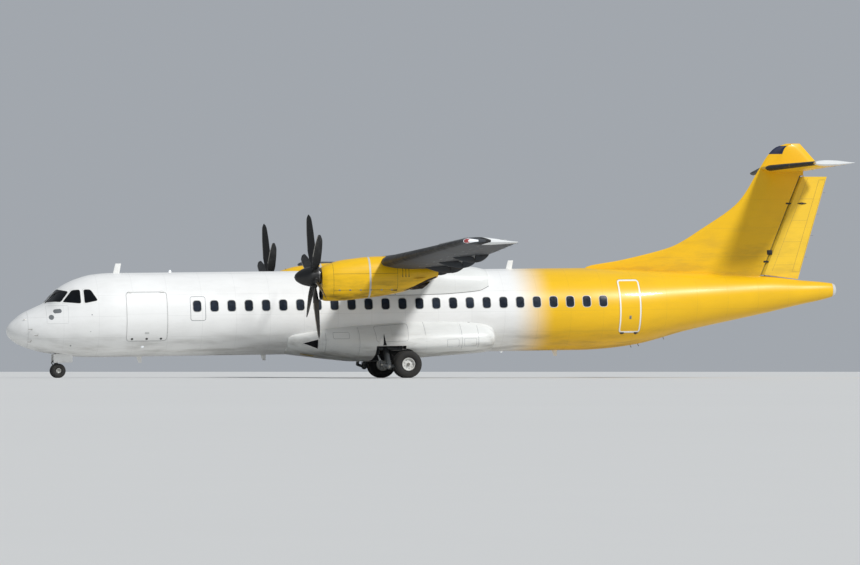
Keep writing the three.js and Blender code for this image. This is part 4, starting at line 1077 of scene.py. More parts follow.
@dataclass
class Fuselage:
    """The skin from nose to tail, with its doorways, nose wheel bay, doors, windows and fittings."""

    sections: Sections
    cargo_door: Door = Door("cargo_door", (3.62, 4.90), (-0.84, 0.69), False, (-1.2137, 0.0), -0.84, -0.33)
    airstair: Door = Door("passenger_door", (19.50, 20.24), (-0.80, 0.92), True, (-1.0440, 0.1681),
                          -0.80, -0.38)
    nodes: tuple[str, ...] = (
        "radome", "flight_deck", "flight_deck_glazing", "fuselage_forward", "fuselage_centre",
        "fuselage_rear", "fuselage_aft", "tail_cone",
    )
    sides: int = 120
    tail_x: float = 27.166
    nose_bay: tuple[float, float, float, float] = (1.43, 2.05, 0.27, -0.80)
    window_first: float = 5.84
    window_step: float = 0.5465
    window_count: int = 25
    window_size: Pair = (0.255, 0.345)
    window_z: float = 0.225
    windscreen: tuple = ((1.205, 0.055), (1.565, 0.055), (1.63, 0.35), (1.728, 0.55), (1.881, 0.75),
                         (1.628, 0.90), (1.512, 0.80), (1.395, 0.65), (1.318, 0.50), (1.262, 0.35),
                         (1.222, 0.20))
    side_panes: tuple = (
        ((1.668, 0.410), (1.981, 0.778), (2.219, 0.792), (2.219, 0.357)),
        ((2.329, 0.362), (2.328, 0.794), (2.538, 0.787), (2.738, 0.442)),
    )
    exits: tuple[Pair, Pair] = ((5.62, 6.11), (-0.234, 0.535))
    service_door: tuple[Pair, Pair] = ((19.50, 20.16), (-0.62, 0.86))
    nose_hatches: tuple[Pair, Pair] = ((1.175, 1.823), (-0.26, 0.307))
    ports: tuple = ((1.31, -0.06, 0.078), (1.44, 0.125, 0.066), (1.50, 0.130, 0.068), (1.56, 0.135, 0.066),
                    (2.54, 0.0, 0.018), (1.91, -0.95, 0.022), (2.50, -0.52, 0.012))

    @property
    def port(self) -> Face:
        """The port side."""
        return self.sections.side(-1)

    def stations(self) -> Array:
        """Stations of the skin: close together at the nose and along the tail."""
        nose = 3.3 * np.linspace(0, 1, 90) ** 2
        return np.concatenate([nose, np.arange(3.8, 18.3, 0.5), np.linspace(18.5, self.tail_x, 110)])

    def skin(self) -> Skin:
        """The skin with the doorways and the nose wheel bay cut into it."""
        x0, x1, half, top = self.nose_bay
        doors = self.cargo_door, self.airstair
        tools = [box((x0, x1), (-half, half), (-1.5, top), Mark.INNER)]
        tools += [plate(door.outline(GAP), (-2.0, door.bay), Mark.INNER) for door in doors]
        tools += [pocket for door in doors for pocket in door.reliefs()]
        return carve(self.sections.solid(self.stations(), self.sides), tools)

    def door_panel(self, door: Door) -> Skin:
        """A door's panel: the skin inside its outline, less what lies deeper than its thickness."""
        x = np.linspace(door.x[0] - 0.3, door.x[1] + 0.3, 17)
        inner = self.sections.solid(x, self.sides, -door.thick, Mark.INNER)
        leaf = carve(self.sections.solid(x, self.sides), [plate(door.outline(), (-2.0, -0.3))], Carve.MEET)
        return carve(leaf, [inner, *door.reliefs()])

    def sill(self, door: Door) -> float:
        """Y at which a doorway's floor ends, just inside the closed door."""
        return door.thick + 0.03 - float(min(self.sections.half_width(x, door.floor) for x in door.x))

    def knuckles(self, door: Door, on_door: bool) -> list[Skin]:
        """Hinge knuckles and their webs, on the door or on the fuselage."""
        up = 1 if door.hinge_at_sill else -1
        reach, lean = (0.09, 0.28) if on_door else (0.2, math.pi - 1.1)
        along = np.array([math.sin(lean), up * math.cos(lean)])
        side = 0.01 * np.array([-along[1], along[0]])
        spans = ((-0.0573, -0.0353), (0.0353, 0.0573)) if on_door else ((-0.035, 0.035),)
        web = joined(0, *np.array([side, reach * along + side, reach * along - side, -side]).T)
        pieces = []
        for place in door.places:
            for low, high in spans:
                line = door.hinge_points(place + low, place + high)
                pieces += [tube(line, 0.02, 24), loft(line[[0, 2], None] + web)]
        return pieces

    def build(self, to: Builder) -> None:
        """Builds every piece of the fuselage."""
        to.add("fuselage_skin", self.skin(), "hull_paint", "white_paint", inner="bay_lining",
               replaces=self.nodes)
        for door, finish in ((self.cargo_door, "trim_white"), (self.airstair, "dark_steel")):
            to.add(f"{door.name}_brackets", self.knuckles(door, False), finish)
            to.add(f"{door.name}_knuckles", self.knuckles(door, True), finish, body=door.name)
        self.build_windows(to)
        self.build_flight_deck(to)
        self.build_cargo_door(to, self.cargo_door)
        self.build_airstair(to, self.airstair)
        self.build_outlines(to)
        self.build_fittings(to)

    def build_windows(self, to: Builder) -> None:
        """Cabin windows: dark panes set in raised rims."""
        panes, rims, seals = [], [], []
        pane_rows = [(0.98, -0.002), (0.98, 0.0015), (0.6, 0.003), (0.1, 0.0035)]
        rim_rows = [(0.022, -0.002), (0.018, 0.003), (0.004, 0.0045), (-0.002, -0.001)]
        seal_rows = [(0.001, 0.0), (-0.002, 0.004), (-0.010, 0.004), (-0.013, 0.001)]
        w, h = self.window_size
        for i in range(self.window_count):
            x, z = self.window_first + i * self.window_step, self.window_z
            outline = panel((x - w / 2, x + w / 2), (z - h / 2, z + h / 2), 0.10, 7)
            for face in self.sections.both:
                panes.append(face.cover(outline, pane_rows))
                rims.append(face.band(outline, rim_rows))
                seals.append(face.band(outline, seal_rows))
        to.add("cabin_window_panes", panes, "cabin_glass", "flight_deck_glass")
        to.add("cabin_window_rims", rims, "rim_pale", "white_paint")
        to.add("cabin_window_seals", seals, "seal_black", "flight_deck_glass")

    def build_flight_deck(self, to: Builder) -> None:
        """Flight deck glazing: a windscreen and two panes on each side, their frames and the wipers."""
        upper = self.sections.level(True)
        panes, frames, seals, wipers = [], [], [], []
        pane_rows = [(1.0, -0.002), (1.0, 0.002), *((scale, 0.005) for scale in np.linspace(0.92, 0.04, 12))]
        frame_rows = [(0.050, -0.003), (0.042, 0.004), (0.006, 0.007), (0.0, 0.001)]
        seal_rows = [(0.004, 0.0), (0.0, 0.0075), (-0.014, 0.0075), (-0.018, 0.001)]
        arm = np.array([[1.20, 0.30], [1.32, 0.34], [1.45, 0.36], [1.56, 0.37]])
        blade = np.array([[1.36, 0.22], [1.50, 0.36], [1.66, 0.52]])
        for side, face in zip(SIDES.values(), self.sections.both):
            mirror = [1, side]
            glass = [(upper, rounded(np.array(self.windscreen) * mirror, 0.07, 7))]
            glass += [(face, rounded(corners, 0.06, 7)) for corners in self.side_panes]
            for surface, corners in glass:
                outline = dense(corners, 0.04)
                panes.append(surface.cover(outline, pane_rows))
                frames.append(surface.band(outline, frame_rows))
                seals.append(surface.band(outline, seal_rows))
            wipers.append(tube(upper.lifted(arm * mirror, [0.012, 0.03, 0.03, 0.02]), 0.008, 8))
            wipers.append(tube(upper.lifted(blade * mirror, 0.012), 0.010, 8))
        to.add("flight_deck_panes", panes, "cockpit_glass", "flight_deck_glass")
        to.add("flight_deck_frames", frames, "trim_white", "white_paint")
        to.add("flight_deck_seals", seals, "seal_black", "flight_deck_glass")
        to.add("windscreen_wipers", wipers, "dark_steel")

    def build_cargo_door(self, to: Builder, door: Door) -> None:
        """The cargo door, its edge strip, latches, handle and inner ribs, and the floor behind it."""
        to.add("cargo_door_panel", self.door_panel(door), "door_paint", "white_paint", door.name,
               "bay_lining", (door.name,))
        rows = [(0.004, -0.003), (0.003, 0.0015), (-0.009, 0.0015), (-0.011, -0.002)]
        handle = panel((4.19, 4.33), (-0.62, -0.56), 0.025)
        grip = self.port.pad(handle, 0.003, 0.005, shoulder=0.85, top=0.2)
        latches = [self.port.pad(panel((x - 0.035, x + 0.035), (-0.80, -0.745), 0.02), 0.003, 0.006, top=0.2)
                   for x in (3.80, 4.26, 4.71)]
        to.add("cargo_door_handle", grip, "rim_pale", body=door.name)
        edge = self.port.band(door.outline(-0.006), rows)
        to.add("cargo_door_edge", edge, "rim_pale", "panel_white", door.name)
        to.add("cargo_door_latches", latches, "dark_steel", body=door.name)
        ribs = []
        for z in (-0.55, -0.2, 0.15, 0.48):
            y = door.thick - float(self.sections.half_width(4.26, z))
            ribs.append(box((door.x[0] + 0.08, door.x[1] - 0.08), (y, y + 0.05), (z - 0.02, z + 0.02)))
        to.add("cargo_door_ribs", ribs, "bay_lining", body=door.name)
        sill = self.sill(door)
        floor = [box((3.66, 4.86), (sill, -0.35), (-0.834, -0.80))]
        floor += [box((3.66, 4.86), (y - 0.03, y + 0.03), (-0.80, -0.785))
                  for y in (sill + 0.05, -0.75, -0.5)]
        to.add("cargo_bay_floor", floor, "tread_grit")

    def build_airstair(self, to: Builder, door: Door) -> None:
        """The airstair door: its panel, outline and handle, its treads and rails, and the floor behind it."""
        to.add("passenger_door_panel", self.door_panel(door), "yellow_panel", "door_yellow", door.name,
               "cabin_lining", (door.name,))
        rows = [(0.0, -0.003), (-0.002, 0.003), (-0.050, 0.003), (-0.052, -0.002)]
        edge = self.port.band(door.outline(-0.004), rows)
        to.add("passenger_door_outline", carve(edge, door.reliefs()), "trim_white", "panel_white", door.name)
        grip = self.port.pad(panel((19.83, 19.90), (-0.36, -0.25), 0.02), 0.004, 0.008, top=0.2)
        to.add("passenger_door_handle", grip, "trim_grey", body=door.name)
        treads, rails = [], []
        span = door.x[0] + 0.09, door.x[1] - 0.09
        for z in np.linspace(-0.55, 0.62, 5):
            y = door.thick - float(self.sections.half_width(19.87, z))
            treads.append(box(span, (y - 0.01, y + 0.2), (z - 0.015, z + 0.015)))
        z = np.linspace(-0.6, 0.75, 9)
        for x in (door.x[0] + 0.05, door.x[1] - 0.05):
            rails.append(tube(joined(x, door.thick + 0.10 - self.sections.half_width(x, z), z), 0.014, 12))
        to.add("airstair_treads", treads, "tread_grit", body=door.name)
        to.add("airstair_rails", rails, "bare_metal", body=door.name)
        to.add("entrance_floor", box((19.53, 20.21), (self.sill(door), -0.40), (-0.795, -0.77)), "tread_grit")

    def build_outlines(self, to: Builder) -> None:
        """Outlines painted round the exits, seams round the radome and hatches, and static ports."""
        exits, seams, marks = [], [], []
        strip = [(0.0, -0.002), (-0.001, 0.0012), (-0.016, 0.0012), (-0.018, -0.002)]
        for face in self.sections.both:
            exits.append(face.band(hatch(*self.exits, 0.09, 7), strip))
            seams.append(face.seam(hatch(*self.nose_hatches, 0.05), rise=0.001))
            for x, z, radius in self.ports:
                marks.append(face.pad([x, z] + radius * circle(28), 0.002, 0.0035, shoulder=0.6))
        exits.append(self.sections.side(1).band(hatch(*self.service_door, 0.12, 7), strip))
        lift = np.array([-0.002, 0.0012, 0.0012, -0.002])[:, None]
        radome = self.sections.ring(np.array([0.6155, 0.617, 0.623, 0.6245]), 96)
        to.add("radome_seam", hoop(radome + joined(0, *(circle(96).T[:, None] * lift))), "rim_pale")
        to.add("exit_outlines", exits, "trim_grey", "panel_white")
        to.add("hatch_seams", seams, "rim_pale")
        to.add("static_ports", marks, "trim_grey")

    def blade_antenna(self, x: tuple[float, float, float, float], top: float, upper: bool = True) -> Skin:
        """A raked blade antenna: thin lens sections that shrink from its foot to its top.

        Args:
            x: Front and rear of its foot, then front and rear of its top.
            top: Height of its top.
            upper: Whether it stands on the top of the fuselage or hangs below it.

        Returns:
            The closed solid.
        """
        foot = float(self.sections.height(sum(x[:2]) / 2, 0.0, upper)) - (0.04 if upper else -0.04)
        t = np.linspace(0, 1, 9)[:, None]
        c, s = circle(24).T
        front, rear = x[0] + (x[2] - x[0]) * t, x[1] + (x[3] - x[1]) * t
        along = (front + rear) / 2 + (rear - front) / 2 * c
        return loft(joined(along, 0.016 * (1 - 0.6 * t) * s, foot + (top - foot) * t))

    def build_fittings(self, to: Builder) -> None:
        """Antennas, beacons, inspection lamps, probes, the tail's cap and lamp, and drain masts."""
        blades = [
            self.blade_antenna((3.38, 3.59, 3.47, 3.65), 1.62),
            self.blade_antenna((16.08, 16.28, 16.17, 16.34), 1.59),
            self.blade_antenna((4.08, 4.26, 4.16, 4.26), -1.52, False),
            self.blade_antenna((8.05, 8.23, 8.12, 8.22), -1.50, False),
            self.blade_antenna((17.55, 17.75, 17.64, 17.74), -1.50, False),
        ]
        to.add("blade_antennas", blades, "trim_white", "white_paint")
        dome = [(0.001, 0.0), (0.05, 0.0), (0.048, 0.03), (0.038, 0.065), (0.02, 0.085), (0.001, 0.09)]
        beacon = turned(dome, "y", 24).turned(np.array([[1.0, 0, 0], [0, 0, -1], [0, 1, 0]]))
        top = float(self.sections.height(5.2, 0.0, True))
        low = float(self.sections.height(15.9, 0.0, False))
        under = beacon.turned(np.diag([1.0, -1, -1]))
        to.add("top_beacon", beacon.moved((5.2, 0, top - 0.01)), "lens_clear")
        to.add("belly_beacon", under.moved((15.9, 0, low + 0.03)), "lens_clear")
        probes, lamps = [], []
        lamp_rows = [(1.0, -0.002), (0.98, 0.004), (0.8, 0.012), (0.4, 0.018), (0.1, 0.020)]
        for face in self.sections.both:
            disc = [4.16, -1.02] + circle(24) * [0.05, 0.035]
            lamps.append(face.cover(disc, lamp_rows))
            for foot in ((0.731, -0.421), (0.711, -0.773), (0.90, -0.60)):
                root, out = face.lifted([foot, foot], [0.0, 0.07])
                probes.append(rod(root, out, 0.010, 10))
                probes.append(rod(out, out - [0.10, 0, 0], [0.011, 0.009, 0.006], 10))
            vane = face.lifted([0.511, -0.130], 0.035)
            probes.append(tube(vane + [[0, 0, 0], [0.04, 0, 0], [0.09, 0, 0]], [0.012, 0.01, 0.004], 8))
        to.add("inspection_lamps", lamps, "lens_clear")
        to.add("air_probes", probes, "bare_metal")
        cap = self.sections.solid(self.tail_x - 0.14 * np.linspace(1, 0, 16) ** 2, 48, 0.003)
        to.add("tail_cap", cap, "rim_pale")
        lamp = turned([(0.001, 0.0), (0.035, 0.0), (0.033, 0.010), (0.02, 0.018), (0.001, 0.022)], "x", 24)
        to.add("tail_lamp", lamp.moved((27.155, 0, 0.52)), "lens_clear")
        bend = [[0, 0, 0.03], [0.02, 0, -0.03], [0.05, 0, -0.08]]
        drains = [tube([x, 0.1, float(self.sections.height(x, 0.0, False))] + np.array(bend), 0.012, 10)
                  for x in (20.2, 20.45, 21.3)]
        to.add("drain_masts", drains, "bare_metal")


@dataclass
class BellyFairing:
    """Fairing under the wing box, with the main wheel bays and an air scoop on each side."""

    sections: Sections
    slot: tuple[float, float, float, float] = (11.44, 12.39, 0.56, -1.11)
    well: tuple[float, float, float] = (12.37, 0.96, 0.50)
    arch: tuple[float, float, float] = (12.37, -1.692, 0.49)
    scoop: tuple = ((9.175, -0.985), (9.64, -0.87), (9.64, -1.165))
    scoop_floor: float = 1.345
    vent: tuple = ((9.19, -1.325), (9.19, -1.295), (9.64, -1.375), (9.64, -1.405))
    leg_door: tuple = ((11.41, -0.48), (12.50, -0.41), (12.45, -0.96), (11.45, -0.98))
    hood: tuple = ((11.50, -1.07), (11.53, -0.92), (11.60, -0.83), (11.665, -0.80), (11.655, -1.07))
    slit: tuple = ((11.64, -1.09), (11.655, -0.90), (11.695, -0.712), (11.715, -0.92), (11.76, -1.09))
    joints: tuple = ((9.87, -1.30, -0.66), (10.91, -1.36, -0.50), (13.02, -0.78, -0.30),
                     (14.20, -1.25, -0.45), (14.75, -1.20, -0.50))
    hatches: tuple = (((13.72, 14.10), (-1.16, -0.92)), ((14.28, 14.68), (-1.14, -0.90)),
                      ((10.1, 10.6), (-0.86, -0.66)))

    def bay(self, side: int) -> list[Skin]:
        """The slot for a leg, the well for its wheels and the arch over them as they stand."""
        x0, x1, inner, top = self.slot
        x, across, radius = self.well
        ring = [x, side * across] + radius * circle(48)
        well = loft([joined(*ring.T, z) for z in (-1.8, top)], Mark.INNER)
        x, z, radius = self.arch
        arch = plate([x, z] + radius * circle(48), (side * 1.4, side * 2.3), Mark.INNER)
        return [box((x0, x1), (side * inner, side * 2.2), (-1.8, top), Mark.INNER), well, arch]

    def build(self, to: Builder) -> None:
        """Builds the fairing, what lies in its bays and its vents."""
        first, last = self.sections.table[[0, -1], 0]
        tools = [*self.bay(-1), *self.bay(1)]
        tools += [plate(self.scoop, (side * self.scoop_floor, side * 1.8), Mark.INNER)
                  for side in SIDES.values()]
        skin = carve(self.sections.solid(np.linspace(first, last, 110), 96), tools)
        to.add("belly_skin", skin, "fairing_paint", "fairing_white", inner="bay_dark",
               replaces=("belly_fairing",))
        self.build_bays(to)
        self.build_vents(to)

    def build_bays(self, to: Builder) -> None:
        """Frames and pipes in each wheel bay."""
        ribs, pipes = [], []
        along = np.linspace(11.46, 12.75, 12)
        for side in SIDES.values():
            ribs += [box((x, x + 0.03), (side * 0.62, side * 1.36), (-1.17, -1.112))
                     for x in (11.62, 12.02, 12.62)]
            pipes += [tube(joined(along, side * y, z + 0.012 * np.sin(9 * along)), 0.011, 10)
                      for y, z in ((0.70, -1.15), (0.78, -1.14), (1.25, -1.15))]
        to.add("wheel_bay_frames", ribs, "bay_lining")
        to.add("wheel_bay_pipes", pipes, "bare_metal")

    def build_vents(self, to: Builder) -> None:
        """Scoop lips, vents, panel seams, and the hood and dark slit over each leg."""
        lips, vents, seams, hoods, slits = [], [], [], [], []
        lip = [(0.012, -0.004), (0.010, 0.006), (0.0, 0.006), (-0.003, -0.004)]
        rise = [(1.0, -0.006), *((scale, 0.040 - 0.034 * scale**2) for scale in np.linspace(1.0, 0.05, 8))]
        flat = [(1.0, -0.006), *((scale, 0.0045) for scale in np.linspace(1.0, 0.05, 10))]
        for face in self.sections.both:
            lips.append(face.band(dense(np.array(self.scoop)), lip))
            vents.append(face.pad(rounded(self.vent, 0.012, 5), 0.003, 0.005))
            seams.append(face.seam(dense(rounded(self.leg_door, 0.08)), -0.005))
            hoods.append(face.cover(dense(rounded(self.hood, 0.03, 7), 0.012), rise))
            slits.append(face.cover(dense(rounded(self.slit, 0.015), 0.012), flat))
            seams += [face.strip(joined(x, np.linspace(low, high, 60)), 0.008, 0.0015)
                      for x, low, high in self.joints]
            seams += [face.seam(hatch(x, z, 0.04, 6, 0.02)) for x, z in self.hatches]
            slot = panel((14.50, 14.61), (-0.40, -0.37), 0.01, 5)
            slits.append(face.pad(slot, 0.002, 0.003, 0.004, 0.5, 0.05))
        to.add("scoop_lips", lips, "trim_white", "fairing_white")
        to.add("belly_vents", vents, "spot_orange", "panel_white")
        to.add("belly_panel_seams", seams, "trim_grey")
        to.add("leg_slits", slits, "bay_dark")
        to.add("leg_hoods", hoods, "trim_white", "fairing_white")


@dataclass
class RootFairing:
    """Saddle that blends the wing into the top of the fuselage."""

    hull: Sections
    rows: Array
    sides: int = 48

    def ring(self, x: Array) -> Array:
        """Rings at stations.

        Above its lower edge a point stands at half * |c|^(2/3.2) to the side and
        (crest - lower) * s^(2/3.2) above that edge; two points under the skin close the ring.
        """
        lower, crest = np.moveaxis(smooth(self.rows, x), -1, 0)[..., None]
        half = self.hull.half_width(x[:, None], lower) + 0.012
        angle = np.linspace(0, np.pi, self.sides + 1)
        y = half * signed_power(np.cos(angle), 2 / 3.2)
        z = lower + (crest - lower) * np.maximum(np.sin(angle), 0) ** (2 / 3.2)
        foot = lower - 0.04
        return joined(x[:, None], np.hstack([y, -0.8 * half, 0.8 * half]), np.hstack([z, foot, foot]))

    def build(self, to: Builder) -> None:
        """Builds the saddle and the seal along its lower edge."""
        rings = self.ring(np.linspace(self.rows[0, 0], self.rows[-1, 0], 90))
        to.add("root_fairing_skin", loft(rings), "fairing_paint", "fairing_white",
               replaces=("wing_root_fairing",))
        seals = [tube(rings[:, k] + [0, 0, -0.003], 0.005, 8) for k in (0, self.sides)]
        to.add("root_fairing_seals", seals, "seal_black")


@dataclass(frozen=True)
class WingShape:
    """The wing's plan and sections: stations along the span and an airfoil."""

    airfoil: Array
    break_y: float = 4.62
    tip_y: float = 13.525
    leads: Pair = (11.13, 11.71)
    chords: Pair = (2.57, 1.59)
    root_z: float = 1.45
    dihedral: float = math.tan(math.radians(2.5))
    droop: float = 0.035
    tip_from: float = 13.23
    tip_back: float = 0.34
    tip_left: float = 0.35

    def station(self, y: Array | float) -> tuple[Array, Array, Array, Array]:
        """Leading edge, chord, height and thickness scale at distances along the span."""
        span = np.abs(np.asarray(y, float))
        t = np.clip((span - self.break_y) / (self.tip_y - self.break_y), 0, None)
        u = np.clip((span - self.tip_from) / (self.tip_y - self.tip_from), 0, 1)
        fall = 1 - np.sqrt(1 - u * u)
        lead = self.leads[0] + t * (self.leads[1] - self.leads[0]) + self.tip_back * fall
        chord = self.chords[0] + t * (self.chords[1] - self.chords[0]) - self.tip_back * fall
        z = self.root_z + np.clip(span - self.break_y, 0, None) * self.dihedral
        return lead, chord, z, (1.12 - 0.3 * t) * (1 - (1 - self.tip_left) * fall)

    def chord(self, y: float) -> float:
        """The chord at one place along the span."""
        return float(self.station(y)[1])

    def point(self, y: Array | float, share: Array | float, upper: Array | bool, lift: float = 0.0) -> Array:
        """A point of the skin.

        Args:
            y: Distance along the span.
            share: Share of the chord from the leading edge.
            upper: Whether it is on the upper side.
            lift: Distance outside the skin.

        Returns:
            The points.
        """
        lead, chord, z, thick = self.station(y)
        both = smooth(self.airfoil, share, 0.5)
        side = np.where(upper, both[..., 0], both[..., 1])
        height = z - share * chord * self.droop + side * chord * thick + np.where(upper, lift, -lift)
        return joined(lead + share * chord, y, height)

    def solid(self, y: Array) -> Skin:
        """The wing between places along the span, its points closer together at the leading edge."""
        return loft(self.point(y[:, None], *section(44, 1.8)))

    def face(self, upper: bool) -> Face:
        """The upper or lower skin, in coordinates of chord share and Y."""
        def at(uv: Array) -> Array:
            """Point of the skin."""
            return self.point(uv[..., 1], np.clip(uv[..., 0], 0.0005, 1), upper)
        return Face(at, 1 if upper else -1)


@dataclass(frozen=True)
class Surface:
    """A moving part of the wing: its reach along the span, its hinge line and its brackets.

    The hinge line is given as its distances behind the leading edge and below the chord line, as
    shares of the chord.
    """

    name: str
    start: float
    end: float
    hinge: Pair
    brackets: tuple[float, ...] = ()


@dataclass
class Wing:
    """The wing in one piece with its boots, flaps, ailerons, hinge fairings and tip lamps."""

    shape: WingShape
    flaps: tuple[Surface, ...] = (Surface("flap_inboard", 1.5, 3.64, (0.80, 0.105), (1.9, 3.3)),
                                  Surface("flap_outboard", 4.64, 9.60, (0.80, 0.105), (5.1, 7.0, 8.9)))
    aileron: Surface = Surface("aileron", 9.76, 13.20, (0.77, -0.011))
    aileron_nose: Pair = (0.076, 0.060)
    flap_cut: float = 0.735
    flap_nose: float = 0.06
    tip_cap_from: float = 13.26
    boots: tuple[Pair, ...] = ((1.75, 3.45), (4.70, 6.95), (6.97, 9.20), (9.22, 11.30), (11.32, 13.05))
    bracket_rows: tuple = (
        (-0.32, 0.066, 0.052, 0.003), (-0.26, 0.072, 0.028, 0.020), (-0.18, 0.078, 0.004, 0.032),
        (-0.10, 0.078, -0.012, 0.037), (-0.04, 0.068, -0.018, 0.037), (-0.005, 0.018, -0.016, 0.037),
        (0.012, 0.002, -0.006, 0.030),
    )
    beak_rows: tuple = (
        (0.030, 0.088, -0.014, 0.054), (0.070, 0.092, -0.006, 0.050), (0.120, 0.097, 0.018, 0.037),
        (0.170, 0.102, 0.058, 0.018), (0.195, 0.104, 0.088, 0.004),
    )
    lug: tuple = ((-0.012, 0.012), (-0.012, -0.012), (0.02, -0.016), (0.045, -0.010), (0.045, 0.085),
                  (0, 0.085))

    def hinge(self, surface: Surface, span: float, side: int) -> Array:
        """A point of a hinge line."""
        lead, chord, z, _ = self.shape.station(span)
        share, drop = surface.hinge
        return joined(lead + share * chord, side * span, z - share * chord * self.shape.droop - drop * chord)

    def pivot(self, surface: Surface, side: int) -> Pivot:
        """A moving part's hinge frame, whose Y axis points to starboard."""
        inboard, outboard = (self.hinge(surface, span, side) for span in (surface.start, surface.end))
        return Pivot(inboard, outboard if side > 0 else 2 * inboard - outboard)

    def along(self, surface: Surface, span: float, side: int) -> float:
        """Distance along a hinge line of a place along the span."""
        share = (span - surface.start) / (surface.end - surface.start)
        return side * self.pivot(surface, side).length * share

    def slab(self, flap: Surface, side: int) -> Skin:
        """Space behind the flap line over the length of a flap."""
        line = []
        for span in (flap.start, flap.end):
            lead, chord, z, _ = (float(v) for v in self.shape.station(span))
            line.append((lead + self.flap_cut * chord, side * span, z))
        return space_behind(line, 16.0, 0.4, 0.6)

    def stations(self) -> Array:
        """Places along the span: the breaks, and close together at the rounded tips."""
        shape = self.shape
        tip = shape.tip_from + (shape.tip_y - shape.tip_from) * np.sin(np.linspace(0, np.pi / 2, 14))
        half = np.concatenate([[0.0], np.linspace(1.4, shape.break_y, 5), np.linspace(5.2, 12.6, 16), tip])
        return np.concatenate([-half[:0:-1], half])

    def build(self, to: Builder) -> None:
        """Builds every piece of the wing."""
        full = self.shape.solid(self.stations())
        tools, pods = [], []
        for side in SIDES.values():
            tools += [self.slab(flap, side) for flap in self.flaps]
            tools.append(self.pivot(self.aileron, side).room(self.aileron_nose, side, 0.024))
            pods += [self.pod(side, flap, span, self.bracket_rows)
                     for flap in self.flaps for span in flap.brackets]
        to.add("wing_skin", [carve(full, tools), *pods], "wing_paint_painted_shade", "wing_grey", inner="bay_lining",
               replaces=("wing_centre", "wing_left", "wing_right"))
        for label, side in SIDES.items():
            for flap in self.flaps:
                self.build_flap(to, flap, label, side)
            pivot, name = self.pivot(self.aileron, side), f"aileron_{label}"
            pieces = [pivot.moving(full, self.aileron_nose, side), pivot.pin(0.014, side)]
            to.add(f"{name}_skin", pieces, "wing_paint_painted_shade", "surface_grey", name, replaces=(name,))
        self.build_boots(to)
        self.build_tips(to)
        self.build_trim(to)

    def pod(self, side: int, flap: Surface, span: float, rows: tuple) -> Skin:
        """A pointed fairing at a flap's hinge.

        Rows are the distance behind the hinge, top and bottom as shares of the chord, and the half
        width. With c and s the cosine and sine of an angle, a point stands at half * |c|^(2/3)
        across and reach * |s|^(2/3) from the middle in height.

        Args:
            side: -1 for port, 1 for starboard.
            flap: The flap.
            span: Place along the span.
            rows: The table of rows.

        Returns:
            The closed solid, in the airframe's frame.
        """
        chord = self.shape.chord(span)
        table = np.array(rows) * [chord, chord, chord, 1]
        x = np.linspace(table[0, 0], table[-1, 0], 30)[:, None]
        top, low, half = np.moveaxis(smooth(table, x), -1, 0)
        across, up = signed_power(circle(24), 0.667).T
        y = self.along(flap, span, side) + half * across
        return self.pivot(flap, side).place(loft(joined(x, y, (top + low) / 2 + (top - low) / 2 * up)))

    def flap_rings(self, flap: Surface, side: int) -> Array:
        """Rings of a flap: the wing's skin behind the flap line, with an elliptic nose ahead of it."""
        y = np.linspace(flap.start + GAP, flap.end - 0.028, 25)[:, None]
        start = self.flap_cut + (0.012 + self.flap_nose) / self.shape.station(y)[1]
        t = np.linspace(0, 1, 30)
        upper = self.shape.point(side * y, start + (1 - start) * (1 - t), True)
        lower = self.shape.point(side * y, start + (1 - start) * t, False)
        top, low = upper[:, -1:], lower[:, :1]
        angle = np.linspace(0, np.pi, 18)[1:-1, None]
        ahead = np.array([self.flap_nose, 0, 0]) * np.sin(angle)
        nose = (top + low) / 2 + (top - low) / 2 * np.cos(angle) - ahead
        return np.concatenate([upper, nose, lower[:, :-1]], axis=1)

    def build_flap(self, to: Builder, flap: Surface, label: str, side: int) -> None:
        """A flap with the rear ends of its hinge fairings and a pair of lugs in each."""
        pieces = [loft(self.flap_rings(flap, side))]
        for span in flap.brackets:
            pieces.append(self.pod(side, flap, span, self.beak_rows))
            outline = dense(rounded(np.array(self.lug) * self.shape.chord(span), 0.01, 5), 0.03)
            for edge in (-1, 1):
                near = self.along(flap, span, side) + edge * 0.0383
                pieces.append(self.pivot(flap, side).place(plate(outline, (near, near + edge * 0.016))))
        name = f"{flap.name}_{label}"
        to.add(f"{name}_skin", pieces, "wing_paint_painted_shade", "surface_grey", name, replaces=(name,))

    def build_boots(self, to: Builder) -> None:
        """Rubber boots round the leading edge, in lengths, with a fine seam between them."""
        boots = []
        t = np.linspace(-1, 1, 33)
        for side in SIDES.values():
            for start, end in self.boots:
                y = side * np.linspace(start, end, 12)[:, None]
                middle = (self.shape.point(y, 0.08, True) + self.shape.point(y, 0.08, False)) / 2
                points = self.shape.point(y, 0.075 * np.abs(t) ** 1.6, t > 0)
                boots.append(boot(points, middle, np.abs(t) > 0.97, 0.004))
        to.add("leading_edge_boots", boots, "boot_rubber", "propeller_black")

    def tip_shell(self, side: int, y: Array, share: Array, lift: float) -> Skin:
        """A thin shell over both skins of a wing tip between two shares of the chord."""
        y = side * y[:, None]
        upper = self.shape.point(y, share[::-1], True, lift)
        lower = self.shape.point(y, share[1:] if share[0] == 0 else share, False, lift)
        rings = np.concatenate([upper, lower], axis=1)
        return loft(np.concatenate([rings, rings[-1:] + [0, side * lift, 0]]))

